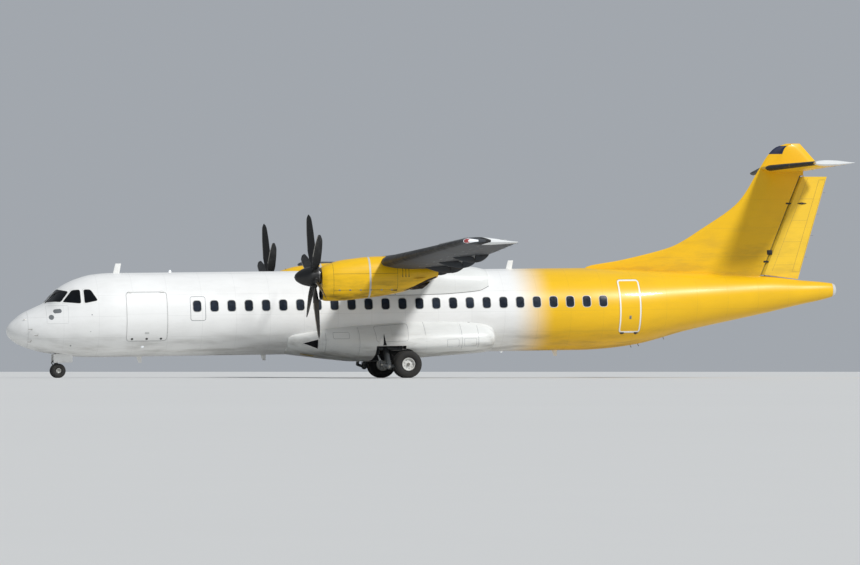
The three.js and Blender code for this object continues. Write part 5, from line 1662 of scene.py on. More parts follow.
    def build_tips(self, to: Builder) -> None:
        """White caps on the wing tips, a black patch and lamps ahead of each, and a small mast."""
        caps, patches, lenses, masts = [], [], [], []
        u = np.sin(np.linspace(0, np.pi / 2, 14))
        y = self.tip_cap_from + (self.shape.tip_y - self.tip_cap_from) * u
        for (label, side), colour in zip(SIDES.items(), ("lens_red", "lens_green")):
            caps.append(self.tip_shell(side, y, np.linspace(0.36, 1, 24), 0.004))
            patches.append(self.tip_shell(side, y, np.linspace(0.24, 0.358, 8), 0.004))
            lens = self.tip_shell(side, y[3:], 0.07 * np.linspace(0, 1, 12) ** 1.6, 0.005)
            lenses.append(lens.moved((-0.006, 0, 0)))
            shares = 0.045 * np.linspace(0, 1, 9) ** 1.6
            lamp = self.tip_shell(side, np.linspace(13.38, 13.46, 6), shares, 0.009)
            to.add(f"tip_lamp_{label}", lamp.moved((-0.010, 0, 0)), colour)
            path = self.shape.point(side * 13.46, np.linspace(0.64, 0.80, 7), True, 0.012)
            masts.append(tube(path, [0.004, 0.010, 0.012, 0.012, 0.012, 0.010, 0.006], 10))
        to.add("wing_tip_caps", caps, "cap_white", "white_paint")
        to.add("wing_tip_patches", patches, "seal_black", "propeller_black")
        to.add("wing_tip_lenses", lenses, "lens_clear")
        to.add("wing_tip_masts", masts, "trim_grey")

    def build_trim(self, to: Builder) -> None:
        """Static wicks of the ailerons, hatches under the wing and vortex vanes ahead of the ailerons."""
        hatches, vanes = [], []
        lower, upper = self.shape.face(False), self.shape.face(True)
        thin = np.array([0, 0.002, 0])
        for label, side in SIDES.items():
            wicks = [tube(self.shape.point(side * span, 0.995, True) + DROOPED_WICK, WICK_RADIUS, 6)
                     for span in (10.1, 11.1, 12.1, 13.0)]
            to.add(f"aileron_wicks_{label}", wicks, "seal_black", body=f"aileron_{label}")
            for span in np.arange(5.4, 12.8, 0.92):
                shares = (0.38, 0.38 + 0.34 / self.shape.chord(span))
                outline = hatch(shares, (side * span - 0.17, side * span + 0.17), 0.05)
                hatches.append(lower.seam(outline, rise=0.0015, outer=0.003, sink=0.001))
            for span in np.arange(9.95, 13.05, 0.14):
                a, b = upper.at(np.array([[0.12, side * span], [0.15, side * span]]))
                top = (a + b) / 2 + [0.02, 0, 0.035]
                ring = np.array([a + [0, 0, -0.01], b + [0, 0, -0.01], b + [0, 0, 0.02], top])
                vanes.append(loft([ring - thin, ring + thin]))
        to.add("wing_hatches", hatches, "trim_grey", "wing_grey")
        to.add("vortex_vanes", vanes, "trim_grey", "wing_grey")


@dataclass
class Nacelle:
    """An engine nacelle with its chin intake, exhaust trough, vents and seams."""

    label: str
    side: int
    rows: Array
    across: float = 4.05
    intake: tuple[float, float, float] = (0.507, 0.210, 0.132)
    exhaust: tuple[Pair, Pair] = ((11.9, 0.70), (13.1, 0.79))
    exhaust_radius: float = 0.12
    band_x: float = 10.76
    soot: tuple = ((11.82, 0.575), (12.20, 0.735), (12.60, 0.93), (12.90, 1.03), (12.925, 0.99),
                   (12.60, 0.845), (12.30, 0.715), (11.95, 0.595))

    @property
    def centre(self) -> float:
        """Y of the engine's middle."""
        return self.side * self.across

    @property
    def sections(self) -> Sections:
        """The nacelle's sections."""
        return Sections(self.rows, self.centre)

    def oval(self, x: float, grow: float) -> Array:
        """A ring of points round the intake."""
        z, wide, high = self.intake
        c, s = circle(48).T
        return joined(x, self.centre + (wide + grow) * c, z + (high + grow) * s)

    def build(self, to: Builder) -> None:
        """Builds the nacelle's skin, whose first rings draw in to a round lip, and everything on it."""
        x = np.concatenate([9.285 + 0.175 * np.linspace(0, 1, 14) ** 2, np.linspace(9.5, 12.95, 76)])
        rings = self.sections.ring(x, 96)
        front = rings[:10]
        share = (1 - (x[:10] - x[0]) / (x[9] - x[0]))[:, None, None] ** 2
        middle = front.mean(axis=1, keepdims=True)
        rings[:10] = middle + (front - middle) * (1 - 0.035 * share)
        c, s = self.exhaust_radius * circle(40).T
        trough = loft([joined(px, self.centre + c, pz + s) for px, pz in self.exhaust], Mark.INNER)
        duct = loft([self.oval(9.2, 0), self.oval(10.1, -0.02)], Mark.INNER)
        to.add(f"nacelle_skin_{self.label}", carve(loft(rings), [duct, trough]), "nacelle_paint",
               "nacelle_yellow", inner="bay_dark", replaces=(f"nacelle_{self.label}",))
        to.dress(f"engine_{self.label}", "dark_steel")
        self.build_intake(to)
        self.build_exhaust(to)
        self.build_panels(to)

    def build_intake(self, to: Builder) -> None:
        """The rubber lip of the intake, a round section carried round its oval, and the guard inside."""
        c, s = circle(16).T[..., None, None]
        base = self.oval(9.29, 0.012)
        out = self.oval(9.29, 1.012) - base
        lip = hoop(base + 0.028 * (c * out + s * np.array([1.0, 0, 0])))
        to.add(f"intake_lip_{self.label}", lip, "boot_rubber", "propeller_black")
        vanes = [box((9.55, 9.56), (self.centre + y - 0.004, self.centre + y + 0.004), (0.38, 0.635))
                 for y in (-0.12, -0.04, 0.04, 0.12)]
        to.add(f"intake_guard_{self.label}", vanes, "dark_steel")

    def build_exhaust(self, to: Builder) -> None:
        """The exhaust pipe in its trough: a tube cut on a slant, whose wall turns back inside."""
        (x0, z0), (x1, z1) = self.exhaust
        slope = (z1 - z0) / (x1 - x0)
        rows = [(12.02, 0.02, 0.0), (12.06, 0.092, 0.0), (12.20, 0.110, 0.0), (12.58, 0.113, 1.2),
                (12.61, 0.111, 1.2), (12.605, 0.101, 1.2), (12.30, 0.096, 0.0)]
        c, s = circle(40).T
        rings = [joined(x + slant * r * s, self.centre + r * c, z0 + slope * (x - x0) + r * s)
                 for x, r, slant in rows]
        to.add(f"exhaust_pipe_{self.label}", loft(rings), "burnt_metal")

    def build_panels(self, to: Builder) -> None:
        """Seams of the cowling doors, the band round it, vents, latches, strakes and heat shields."""
        seams, vents, latches, strakes, shields = [], [], [], [], []
        x, z, u = np.linspace(9.62, 11.62, 30), np.linspace(0.46, 1.50, 24), np.linspace(0, 1, 9)
        lines = [joined(9.62, z), joined(11.62, z), joined(x, 1.12), joined(x, 0.62)]
        path = joined(12.10 + 0.42 * u, 0.955 + 0.03 * u)
        soot = dense(rounded(self.soot, 0.03, 5))
        thin = np.array([0, 0, 0.004])
        for face in self.sections.both:
            seams += [face.strip(line, 0.007, 0.0015) for line in lines]
            for x in np.linspace(9.8, 11.45, 6):
                latch = panel((x - 0.03, x + 0.03), (0.60, 0.64), 0.012, 5)
                latches.append(face.pad(latch, 0.003, 0.005, 0.001))
            for x in (11.78, 11.88, 11.98):
                slit = panel((x - 0.012, x + 0.012), (1.00, 1.30), 0.01, 5)
                vents.append(face.pad(slit, 0.002, 0.003, 0.001, 0.6))
            edge = face.lifted(path, 0.05 * np.sin(np.pi * u * 0.9))
            strake = np.vstack([face.lifted(path, -0.01), edge[::-1]])
            strakes.append(loft([strake - thin, strake + thin]))
            shields.append(face.cover(soot, [(1.0, -0.003), (0.98, 0.003), (0.6, 0.004), (0.1, 0.004)]))
        rings = self.sections.ring(self.band_x + np.array([-0.029, -0.027, 0.027, 0.029]), 96)
        reach = rings - rings.mean(axis=1, keepdims=True)
        reach /= np.linalg.norm(reach, axis=-1, keepdims=True)
        band = hoop(rings + reach * np.array([-0.003, 0.0025, 0.0025, -0.003])[:, None, None])
        to.add(f"cowl_band_{self.label}", band, "rim_pale", "nacelle_yellow")
        to.add(f"cowl_seams_{self.label}", seams, "seal_black")
        to.add(f"cowl_vents_{self.label}", vents, "seal_black")
        to.add(f"cowl_latches_{self.label}", latches, "bare_metal")
        to.add(f"cowl_strakes_{self.label}", strakes, "nacelle_paint", "nacelle_yellow")
        to.add(f"exhaust_shield_{self.label}", shields, "burnt_metal")


@dataclass
class Propeller:
    """A propeller: a pointed spinner and six scimitar blades with metal edges."""

    label: str
    side: int
    rows: Array
    hub: tuple[float, float, float] = (9.07, 4.05, 1.06)
    tilt: float = math.radians(2.5)
    phase: float = 9.0
    blades: int = 6
    spinner: tuple = ((0.001, -0.17), (0.30, -0.17), (0.312, -0.09), (0.308, 0.09), (0.27, 0.28),
                      (0.19, 0.46), (0.085, 0.58), (0.001, 0.612))
    tip_cap: tuple = ((0.001, -0.618), (0.02, -0.613), (0.036, -0.602), (0.040, -0.594), (0.001, -0.590))
    seam: tuple = ((0.29, 0.118), (0.3125, 0.118), (0.3125, 0.124), (0.29, 0.124))

    def place(self, skin: Skin) -> Skin:
        """A surface given about the hub, with X aft along the shaft, in the airframe's frame."""
        return skin.turned(pitched(self.tilt)).moved(np.array(self.hub) * [1, self.side, 1])

    def on_blade(self, skin: Skin, i: int) -> Skin:
        """A surface given along Z from the hub, at the place of one blade in the airframe's frame."""
        angle = -math.radians(360 / self.blades * i + self.phase)
        c, s = math.cos(angle), math.sin(angle)
        return self.place(skin.turned(np.array([[1, 0, 0], [0, c, -s], [0, s, c]])))

    def blade_rings(self, radius: Array, lift: float = 0.0, edge: float = 1.0, count: int = 26) -> Array:
        """Rings of a blade's sections.

        The section is thickest at three tenths of its chord, by the usual sum of powers of the
        distance s from its leading edge: 1.48 s^0.5 - 0.63 s - 1.76 s^2 + 1.42 s^3 - 0.51 s^4.

        Args:
            radius: Distances from the axis.
            lift: Distance outside the skin.
            edge: Share of the chord to keep behind the leading edge.
            count: Points on each side.

        Returns:
            Rows of points.
        """
        chord, thick, pitch = np.moveaxis(smooth(self.rows, radius), -1, 0)[..., None]
        s = np.linspace(0, 1, count) ** 1.6 * edge
        bulge = 1.4845 * np.sqrt(s) - 0.63 * s - 1.758 * s**2 + 1.4215 * s**3 - 0.5075 * s**4
        rise = np.concatenate([0.92 * bulge, -0.66 * bulge[:0:-1]]) * thick
        across = rise + lift * np.where(np.arange(2 * count - 1) < count, 1, -1)
        along = np.concatenate([0.5 - s, (0.5 - s)[:0:-1]]) * chord + lift * 0.8
        c, s = np.cos(np.radians(pitch)), np.sin(np.radians(pitch))
        return joined(-along * s - across * c, along * c - across * s, radius[:, None])

    def blade(self) -> Skin:
        """A blade along Z, rounded at its tip, with its shank."""
        tip = 1.77 + 0.18 * np.sin(np.linspace(0.1, 1.5708, 12))
        radius = np.concatenate([[0.31, 0.36], np.linspace(0.43, 1.77, 28), tip])
        scale = np.clip(1 - (np.clip(radius - 1.75, 0, None) / 0.203) ** 2.4, 0.02, 1)[:, None, None] ** 0.5
        rings = self.blade_rings(radius)
        middle = rings.mean(axis=1, keepdims=True)
        shank = tube(joined(0, 0, [0.19, 0.27, 0.34, 0.37]), [0.078, 0.078, 0.074, 0.05], 32)
        return merged([loft(middle + (rings - middle) * scale), shank])

    def build(self, to: Builder) -> None:
        """Builds the spinner, the blades and their edges and collars."""
        body = f"propeller_{self.label}"
        profile = np.array(self.spinner)
        steps = np.arange(len(profile))
        curve = smooth(np.column_stack([steps, profile]), np.linspace(0, steps[-1], 60))
        shell = self.place(turned(curve[::-1] * [1, -1], "x", 64))
        to.add(f"spinner_{self.label}_skin", shell, "spinner_black", "propeller_black", body,
               replaces=(f"spinner_{self.label}",))
        to.add(f"spinner_tip_{self.label}", self.place(turned(self.tip_cap, "x", 32)), "trim_grey", body=body)
        to.add(f"spinner_seam_{self.label}", self.place(turned(self.seam, "x", 64)), "bare_metal", body=body)
        blade = self.blade()
        sheath = loft(self.blade_rings(np.linspace(0.85, 1.84, 20), 0.0015, 0.09, 10))
        collar = tube(joined(0, 0, [0.285, 0.30, 0.325]), [0.098, 0.098, 0.090], 32)
        for i in range(self.blades):
            node = f"blade_{self.label}_{i + 1}"
            to.add(f"{node}_skin", self.on_blade(blade, i), "blade_black", "propeller_black", body,
                   replaces=(node,))
        edges, collars = ([self.on_blade(skin, i) for i in range(self.blades)] for skin in (sheath, collar))
        to.add(f"blade_edges_{self.label}", edges, "bare_metal", body=body)
        to.add(f"blade_collars_{self.label}", collars, "dark_steel", body=body)


@dataclass(frozen=True)
class Line:
    """A straight line that gives X at a height."""

    z: float
    x: float
    slope: float

    def at(self, z: Array | float) -> Array:
        """X of the line at a height."""
        return self.x + (z - self.z) * self.slope


@dataclass
class Fin:
    """The fin with its long dorsal fillet, and the rudder with its tab."""

    hull: Sections
    rows: Array
    plain: Line = Line(3.446, 23.93, 0.674)
    hinge: Line = Line(1.0, 24.75, 0.4242)
    trail: Line = Line(0.904, 25.888, 0.3125)
    cap: Line = Line(4.5, 26.75, -0.9)
    rudder_top: float = 4.262
    rudder_nose: Pair = (0.202, 0.100)
    tail_z: float = 4.5
    spans: int = 7

    def rings(self, z: Array, steps: int = 9) -> Array:
        """Rings of the section at heights: eight points on each side, with curves between them."""
        lead, half = np.moveaxis(smooth(self.rows, z), -1, 0)
        plain = np.maximum(lead, self.plain.at(z))
        trail = np.minimum(self.trail.at(z), self.cap.at(z))
        hinge = np.minimum(self.hinge.at(z), trail - 0.3)
        nose = np.minimum(0.045, half)
        chord = hinge - plain
        xs = np.stack([lead, lead + 0.06, lead + 0.5 * (plain - lead) + 0.16,
                       plain + 0.1 * chord + 0.18, plain + 0.35 * chord + 0.1, plain + 0.62 * chord,
                       hinge, trail])
        ys = np.stack([0 * half, 0.55 * nose, nose, 0.62 * half, 1.05 * half, 1.1 * half, 0.92 * half,
                       np.full_like(half, 0.007)])
        table = np.column_stack([np.arange(self.spans + 1), np.maximum.accumulate(xs, axis=0), ys])
        t = np.linspace(0, self.spans, self.spans * steps + 1)
        curves = smooth(table, np.where(t < 1, t**2, t))
        x, y = curves[:, :len(z)].T, curves[:, len(z):].T
        return joined(np.hstack([x, x[:, :0:-1]]), np.hstack([y, -y[:, :0:-1]]), z[:, None])

    def solid(self) -> Skin:
        """The whole fin with the rudder's place filled."""
        parts = np.linspace(0.7, 1.3, 7), np.linspace(1.36, 5.0, 70), np.linspace(5.02, 5.31, 18)
        return loft(self.rings(np.concatenate(parts)))

    def face(self, side: int) -> Face:
        """A side of the fin or rudder behind its leading edge, in coordinates X and Z."""
        def at(uv: Array) -> Array:
            """Point of the face, read from the ring at its height."""
            x, z = uv[..., 0].ravel(), uv[..., 1].ravel()
            steps = 24
            last = self.spans * steps
            ring = self.rings(z, steps)[:, :last + 1]
            behind = np.clip((ring[..., 0] < x[:, None]).sum(axis=1), 1, last)
            row = np.arange(len(z))
            near, far = ring[row, behind - 1], ring[row, behind]
            share = np.clip((x - near[:, 0]) / np.maximum(far[:, 0] - near[:, 0], 1e-9), 0, 1)
            y = near[:, 1] + share * (far[:, 1] - near[:, 1])
            return joined(x, side * y, z).reshape(*uv.shape[:-1], 3)
        return Face(at, -side)

    def deck(self, x: float) -> float:
        """Height of the top of the fuselage at a station."""
        return float(smooth(self.hull.table, x)[0])

    def pivot(self) -> Pivot:
        """The rudder's hinge frame, from the skin of the fuselage up, which a few rounds find."""
        foot = 1.0
        for _ in range(5):
            foot = self.deck(self.hinge.at(foot))
        return Pivot(*(joined(self.hinge.at(z), 0, z) for z in (foot, self.rudder_top)))

    def space(self, lip: float, radii: Pair | list, top: float, mark: Mark = Mark.OUTER) -> Skin:
        """The rudder's space below a height, from far below its foot."""
        pivot = self.pivot()
        whole = pivot.place(surface_space(-0.8, pivot.length + 0.8, lip, radii, mark))
        return carve(whole, [self.below(top)], Carve.MEET)

    def below(self, z: float) -> Skin:
        """Everything round the tail under a height."""
        return box((20, 29), (-0.9, 0.9), (-0.5, z), Mark.INNER)

    def build(self, to: Builder, tail: "Tailplane") -> None:
        """Builds the fin, the rudder and what is on them."""
        full = self.solid()
        bay = self.space(0.1, [radius + 0.016 for radius in self.rudder_nose], self.rudder_top, Mark.INNER)
        rear = carve(tail.slab(-0.6, 0.6, tail.cut), [self.below(self.tail_z)], Carve.MEET)
        to.add("fin_skin", carve(full, [bay, rear]), "fin_paint", "fin_yellow", inner="bay_lining",
               replaces=("fin",))
        blade = carve(full, [self.space(0.0, self.rudder_nose, self.rudder_top - 0.04)], Carve.MEET)
        deck = [[x, self.deck(x) + 0.028] for x in (24.0, 24.75, 25.89, 26.5)]
        blade = carve(blade, [plate([[24.0, 0.0], *deck, [26.5, 0.0]], (-0.6, 0.6))])
        to.add("rudder_skin", [blade, self.pivot().pin(0.016)], "rudder_paint_painted_highlight", "fin_yellow", "rudder",
               replaces=("rudder",))
        self.build_trim(to)

    def build_trim(self, to: Builder) -> None:
        """Seams, hinge pads and horns on both sides, the static wicks and the patch on the fin's cap."""
        seams, pads, horns = [], [], []
        low, high = 1.12, 4.12
        foot, head = self.trail.at(low), self.trail.at(high)
        corners = [[foot - 0.28, low], [foot - 0.02, low], [head - 0.02, high], [head - 0.25, high]]
        tab = dense(np.array(corners), 0.08)
        z = np.linspace(1.16, 4.2, 60)
        spar = joined(self.hinge.at(z) + 0.15, z)
        rows = [(1.0, -0.002), (0.98, 0.006), (0.8, 0.012), (0.1, 0.012)]
        horn_rows = [(1.0, -0.002), (0.95, 0.012), (0.7, 0.030), (0.3, 0.038), (0.05, 0.040)]
        horn_z = 3.35
        x = self.hinge.at(horn_z) + 0.28
        corners = [[x - 0.19, horn_z], [x, horn_z + 0.035], [x + 0.20, horn_z], [x, horn_z - 0.035]]
        horn = rounded(corners, 0.05)
        for face in (self.face(side) for side in SIDES.values()):
            seams += [face.seam(tab, -0.007, 0.003), face.strip(spar, 0.008, 0.0015)]
            for z in (1.35, 2.1, 2.8, 3.5):
                rib = joined(np.linspace(self.hinge.at(z) + 0.15, self.trail.at(z) - 0.28, 10), z)
                seams.append(face.strip(rib, 0.006, 0.0012))
            for z, half in ((1.46, 0.03), (1.76, 0.075), (horn_z, 0.025)):
                x = self.hinge.at(z) - 0.13
                pads.append(face.cover(panel((x - 0.15, x + 0.03), (z - half, z + half), 0.015, 5), rows))
            horns.append(face.cover(horn, horn_rows))
        wicks = [tube(joined(self.trail.at(z), 0, z) + WICK, WICK_RADIUS, 6) for z in (1.6, 2.3, 3.0, 3.7)]
        to.add("fin_hinge_pads", pads, "dark_steel")
        to.add("rudder_horns", horns, "dark_steel", body="rudder")
        to.add("rudder_tab_seams", seams, "spot_orange", body="rudder")
        to.add("rudder_wicks", wicks, "seal_black", body="rudder")
        reach = 46
        take = np.arange(-reach, reach + 1)
        front = self.rings(np.linspace(4.97, 5.24, 12), 12)[:, take]
        patch = boot(front, front[:, [0, -1]].mean(axis=1, keepdims=True), np.abs(take) == reach)
        to.add("fin_cap_patch", patch, "patch_dark", "propeller_black")


@dataclass
class Tailplane:
    """The tailplane on the fin, with an elevator on each side."""

    half: float = 3.655
    leads: Pair = (24.67, 25.40)
    trails: Pair = (26.77, 26.70)
    z: float = 4.5
    cut: float = 0.66
    inner: float = 0.45
    outer: float = 3.48
    tip: float = 0.12
    nose: Pair = (0.078, 0.054)
    slant: Pair = (0.06, 0.7)
    rises: tuple = ((0, 0), (0.02, 0.026), (0.1, 0.05), (0.3, 0.066), (0.55, 0.058), (0.8, 0.03),
                    (1, 0.003))

    def plan(self, y: Array | float) -> tuple[Array, Array]:
        """Leading edge and chord at distances from the middle."""
        t = np.abs(y) / self.half
        lead = self.leads[0] + t * (self.leads[1] - self.leads[0])
        return lead, self.trails[0] + t * (self.trails[1] - self.trails[0]) - lead

    def on_chord(self, y: Array | float, share: float) -> Array:
        """Points of the chord plane at a share of the chord."""
        lead, chord = self.plan(y)
        return joined(lead + share * chord, y, self.z)

    def rings(self, y: Array, share: Array, upper: Array, lift: float = 0.0) -> Array:
        """Points of the section, thinned over the last stretch of each tip."""
        y = y[:, None]
        lead, chord = self.plan(y)
        scale = 1 - 0.5 * np.clip((np.abs(y) - self.half + self.tip) / self.tip, 0, 1) ** 2
        rise = smooth(np.array(self.rises), share, 0.5)[..., 0]
        height = np.where(upper, 1, -1) * (rise * scale * chord + lift)
        return joined(lead + share * chord, y, self.z + height)

    def solid(self) -> Skin:
        """The tailplane with the elevators' places filled."""
        root = self.half - self.tip
        y = np.concatenate([np.linspace(0, root, 14), root + self.tip * np.linspace(0.1, 1, 10)])
        return loft(self.rings(np.concatenate([-y[:0:-1], y]), *section(36, 1.7)))

    def slab(self, y0: float, y1: float, share: float) -> Skin:
        """Space behind a share of the chord."""
        return space_behind([self.on_chord(y, share) for y in (y0, y1)], 27.6, 0.3, 0.3)

    def pivot(self, side: int) -> Pivot:
        """An elevator's hinge frame, whose Y axis points to starboard."""
        near, far = (self.on_chord(side * y, self.cut + 0.04) for y in (self.inner, self.outer))
        return Pivot(near, far if side > 0 else 2 * near - far)

    def elevator(self, full: Skin, side: int) -> list[Skin]:
        """An elevator, cut on a slant beside the fin, and its hinge pin."""
        pivot = self.pivot(side)
        start, slope = self.slant
        corner = np.array([[start, -0.05], [start + 2, -0.05], [start + 2, 2 * slope - 0.05]]) * [1, side]
        wedge = pivot.place(loft([joined(*corner.T, z) for z in (-0.5, 0.5)]))
        return [carve(pivot.moving(full, self.nose, side), [wedge]), pivot.pin(0.012, side)]

    def build(self, to: Builder) -> None:
        """Builds the tailplane, the elevators, the boots and the wicks."""
        full = self.solid()
        tools = [self.slab(-self.inner, self.inner, self.cut + 0.09)]
        for label, side in SIDES.items():
            name = f"elevator_{label}"
            tools.append(self.pivot(side).room(self.nose, side, 0.04))
            to.add(f"{name}_skin", self.elevator(full, side), "tail_paint", "tail_white", name,
                   replaces=(name,))
            wicks = [tube(self.on_chord(side * y, 1.0) + WICK, WICK_RADIUS, 6) for y in (1.2, 2.2, 3.2)]
            to.add(f"elevator_wicks_{label}", wicks, "seal_black", body=name)
        to.add("tailplane_skin", carve(full, tools), "tail_paint", "tail_white", inner="bay_lining",
               replaces=("tailplane",))
        self.build_edges(to)

    def build_edges(self, to: Builder) -> None:
        """Rubber boots round the leading edge and white caps on the tips."""
        boots, caps = [], []
        t = np.linspace(-1, 1, 27)
        share = np.linspace(0.01, 1, 30)
        shares = np.concatenate([share, share[::-1]])
        for side in SIDES.values():
            for start, end in ((0.35, 1.90), (1.92, 3.50)):
                y = side * np.linspace(start, end, 10)
                points = self.rings(y, 0.085 * np.abs(t) ** 1.6, t > 0)
                boots.append(boot(points, self.on_chord(y, 0.09)[:, None], np.abs(t) > 0.97))
            rings = self.rings(side * np.linspace(3.52, self.half, 12), shares, np.arange(60) < 30, 0.003)
            caps.append(loft(np.concatenate([rings, rings[-1:] + [0, side * 0.003, 0]])))
        to.add("tailplane_boots", boots, "boot_rubber", "propeller_black")
        to.add("tailplane_tip_caps", caps, "cap_white", "tail_white")


@dataclass(frozen=True)
class WheelSize:
    """Sizes of a wheel pair: middle of the axle, half the spacing, radius, width, rim and bolts."""

    centre: tuple[float, float, float]
    twin: float
    radius: float
    width: float
    rim: float
    bolts: int


@dataclass
class WheelPair:
    """A pair of wheels on one axle: tyres with grooved treads, rims with bolts and caps."""

    size: WheelSize
    body: str
    tyres: tuple[str, str]
    hubs: str
    wall: tuple = ((0.0, 0.60), (0.06, 0.70), (0.18, 0.88), (0.34, 0.985), (0.50, 1.0), (0.66, 0.97),
                   (0.80, 0.88), (0.90, 0.75), (0.96, 0.60), (0.985, 0.50))
    grooves: Pair = (0.40, 0.14)

    def tyre(self) -> Skin:
        """A tyre: a closed outline with a round shoulder and four grooves in the tread."""
        size = self.size
        tread = []
        for edge in self.grooves:
            tread += [(1.0, edge + 0.025), (0.955, edge + 0.015), (0.955, edge - 0.035), (1.0, edge - 0.045)]
        upper = np.array([*self.wall, *tread])
        out, across = np.vstack([upper * [1, -1], upper[::-1]]).T
        return ring_solid(joined(size.rim + (size.radius - size.rim) * out, across * size.width / 2), 96)

    def rim(self, edge: int) -> Skin:
        """A rim: a dished disc with a raised flange, turned about the axle."""
        size = self.size
        rim = size.rim - 0.0003
        outer, inner = size.twin + 0.42 * size.width, size.twin - 0.38 * size.width
        profile = [(0.001, outer - 0.03), (0.26 * rim, outer - 0.03), (0.30 * rim, outer - 0.045),
                   (0.52 * rim, outer - 0.062), (0.74 * rim, outer - 0.06), (0.84 * rim, outer - 0.044),
                   (0.90 * rim, outer - 0.006), (0.93 * rim, outer), (rim, outer - 0.002), (rim, inner),
                   (0.2 * rim, inner + 0.02), (0.001, inner + 0.02)]
        return turned(np.array(profile) * [1, edge], "y", 64)

    def build(self, to: Builder) -> None:
        """Builds the tyres, rims, axle, bolts and caps of the pair."""
        size, centre = self.size, np.array(self.size.centre)
        aside = np.array([0, size.twin, 0])
        for edge, node in zip((-1, 1), self.tyres):
            to.add(f"{node}_rubber", self.tyre().moved(centre + edge * aside), "tyre_rubber", "tyre_black",
                   self.body, replaces=(node,))
        rims = [self.rim(edge).moved(centre) for edge in (-1, 1)]
        axle = rod(centre - aside, centre + aside, 0.17 * size.rim + 0.012, 24)
        to.add(f"{self.hubs}_rims", [*rims, axle], "hub_paint", "hub_white", self.body, replaces=(self.hubs,))
        bolts, caps = [], []
        outer, rim = size.twin + 0.42 * size.width, size.rim
        head = np.array([(0.001, 0.0), (0.05 * rim, 0.0), (0.05 * rim, 0.012), (0.001, 0.014)])
        dome = np.array([(0.001, -0.03), (0.24 * rim, -0.03), (0.23 * rim, -0.008), (0.16 * rim, 0.006),
                         (0.001, 0.008)])
        for edge in (-1, 1):
            bolt = turned((head + [0, outer - 0.064]) * [1, edge], "y", 6).moved(centre)
            bolts += [bolt.moved((0.66 * rim * c, 0, 0.66 * rim * s)) for c, s in circle(size.bolts)]
            caps.append(turned((dome + [0, outer]) * [1, edge], "y", 32).moved(centre))
        to.add(f"{self.hubs}_bolts", bolts, "dark_steel", body=self.body)
        to.add(f"{self.hubs}_caps", caps, "bare_metal", body=self.body)


def eye(bore: float, radius: float, half: float) -> Skin:
    """A chamfered ring round the Y axis: the end of a leg that an axle turns in."""
    edge = 0.08 * radius
    side = [(bore, half - 0.002), (bore + 0.002, half), (radius - edge, half), (radius, half - edge)]
    return ring_solid([*side, *((r, -h) for r, h in side[::-1])], 48)


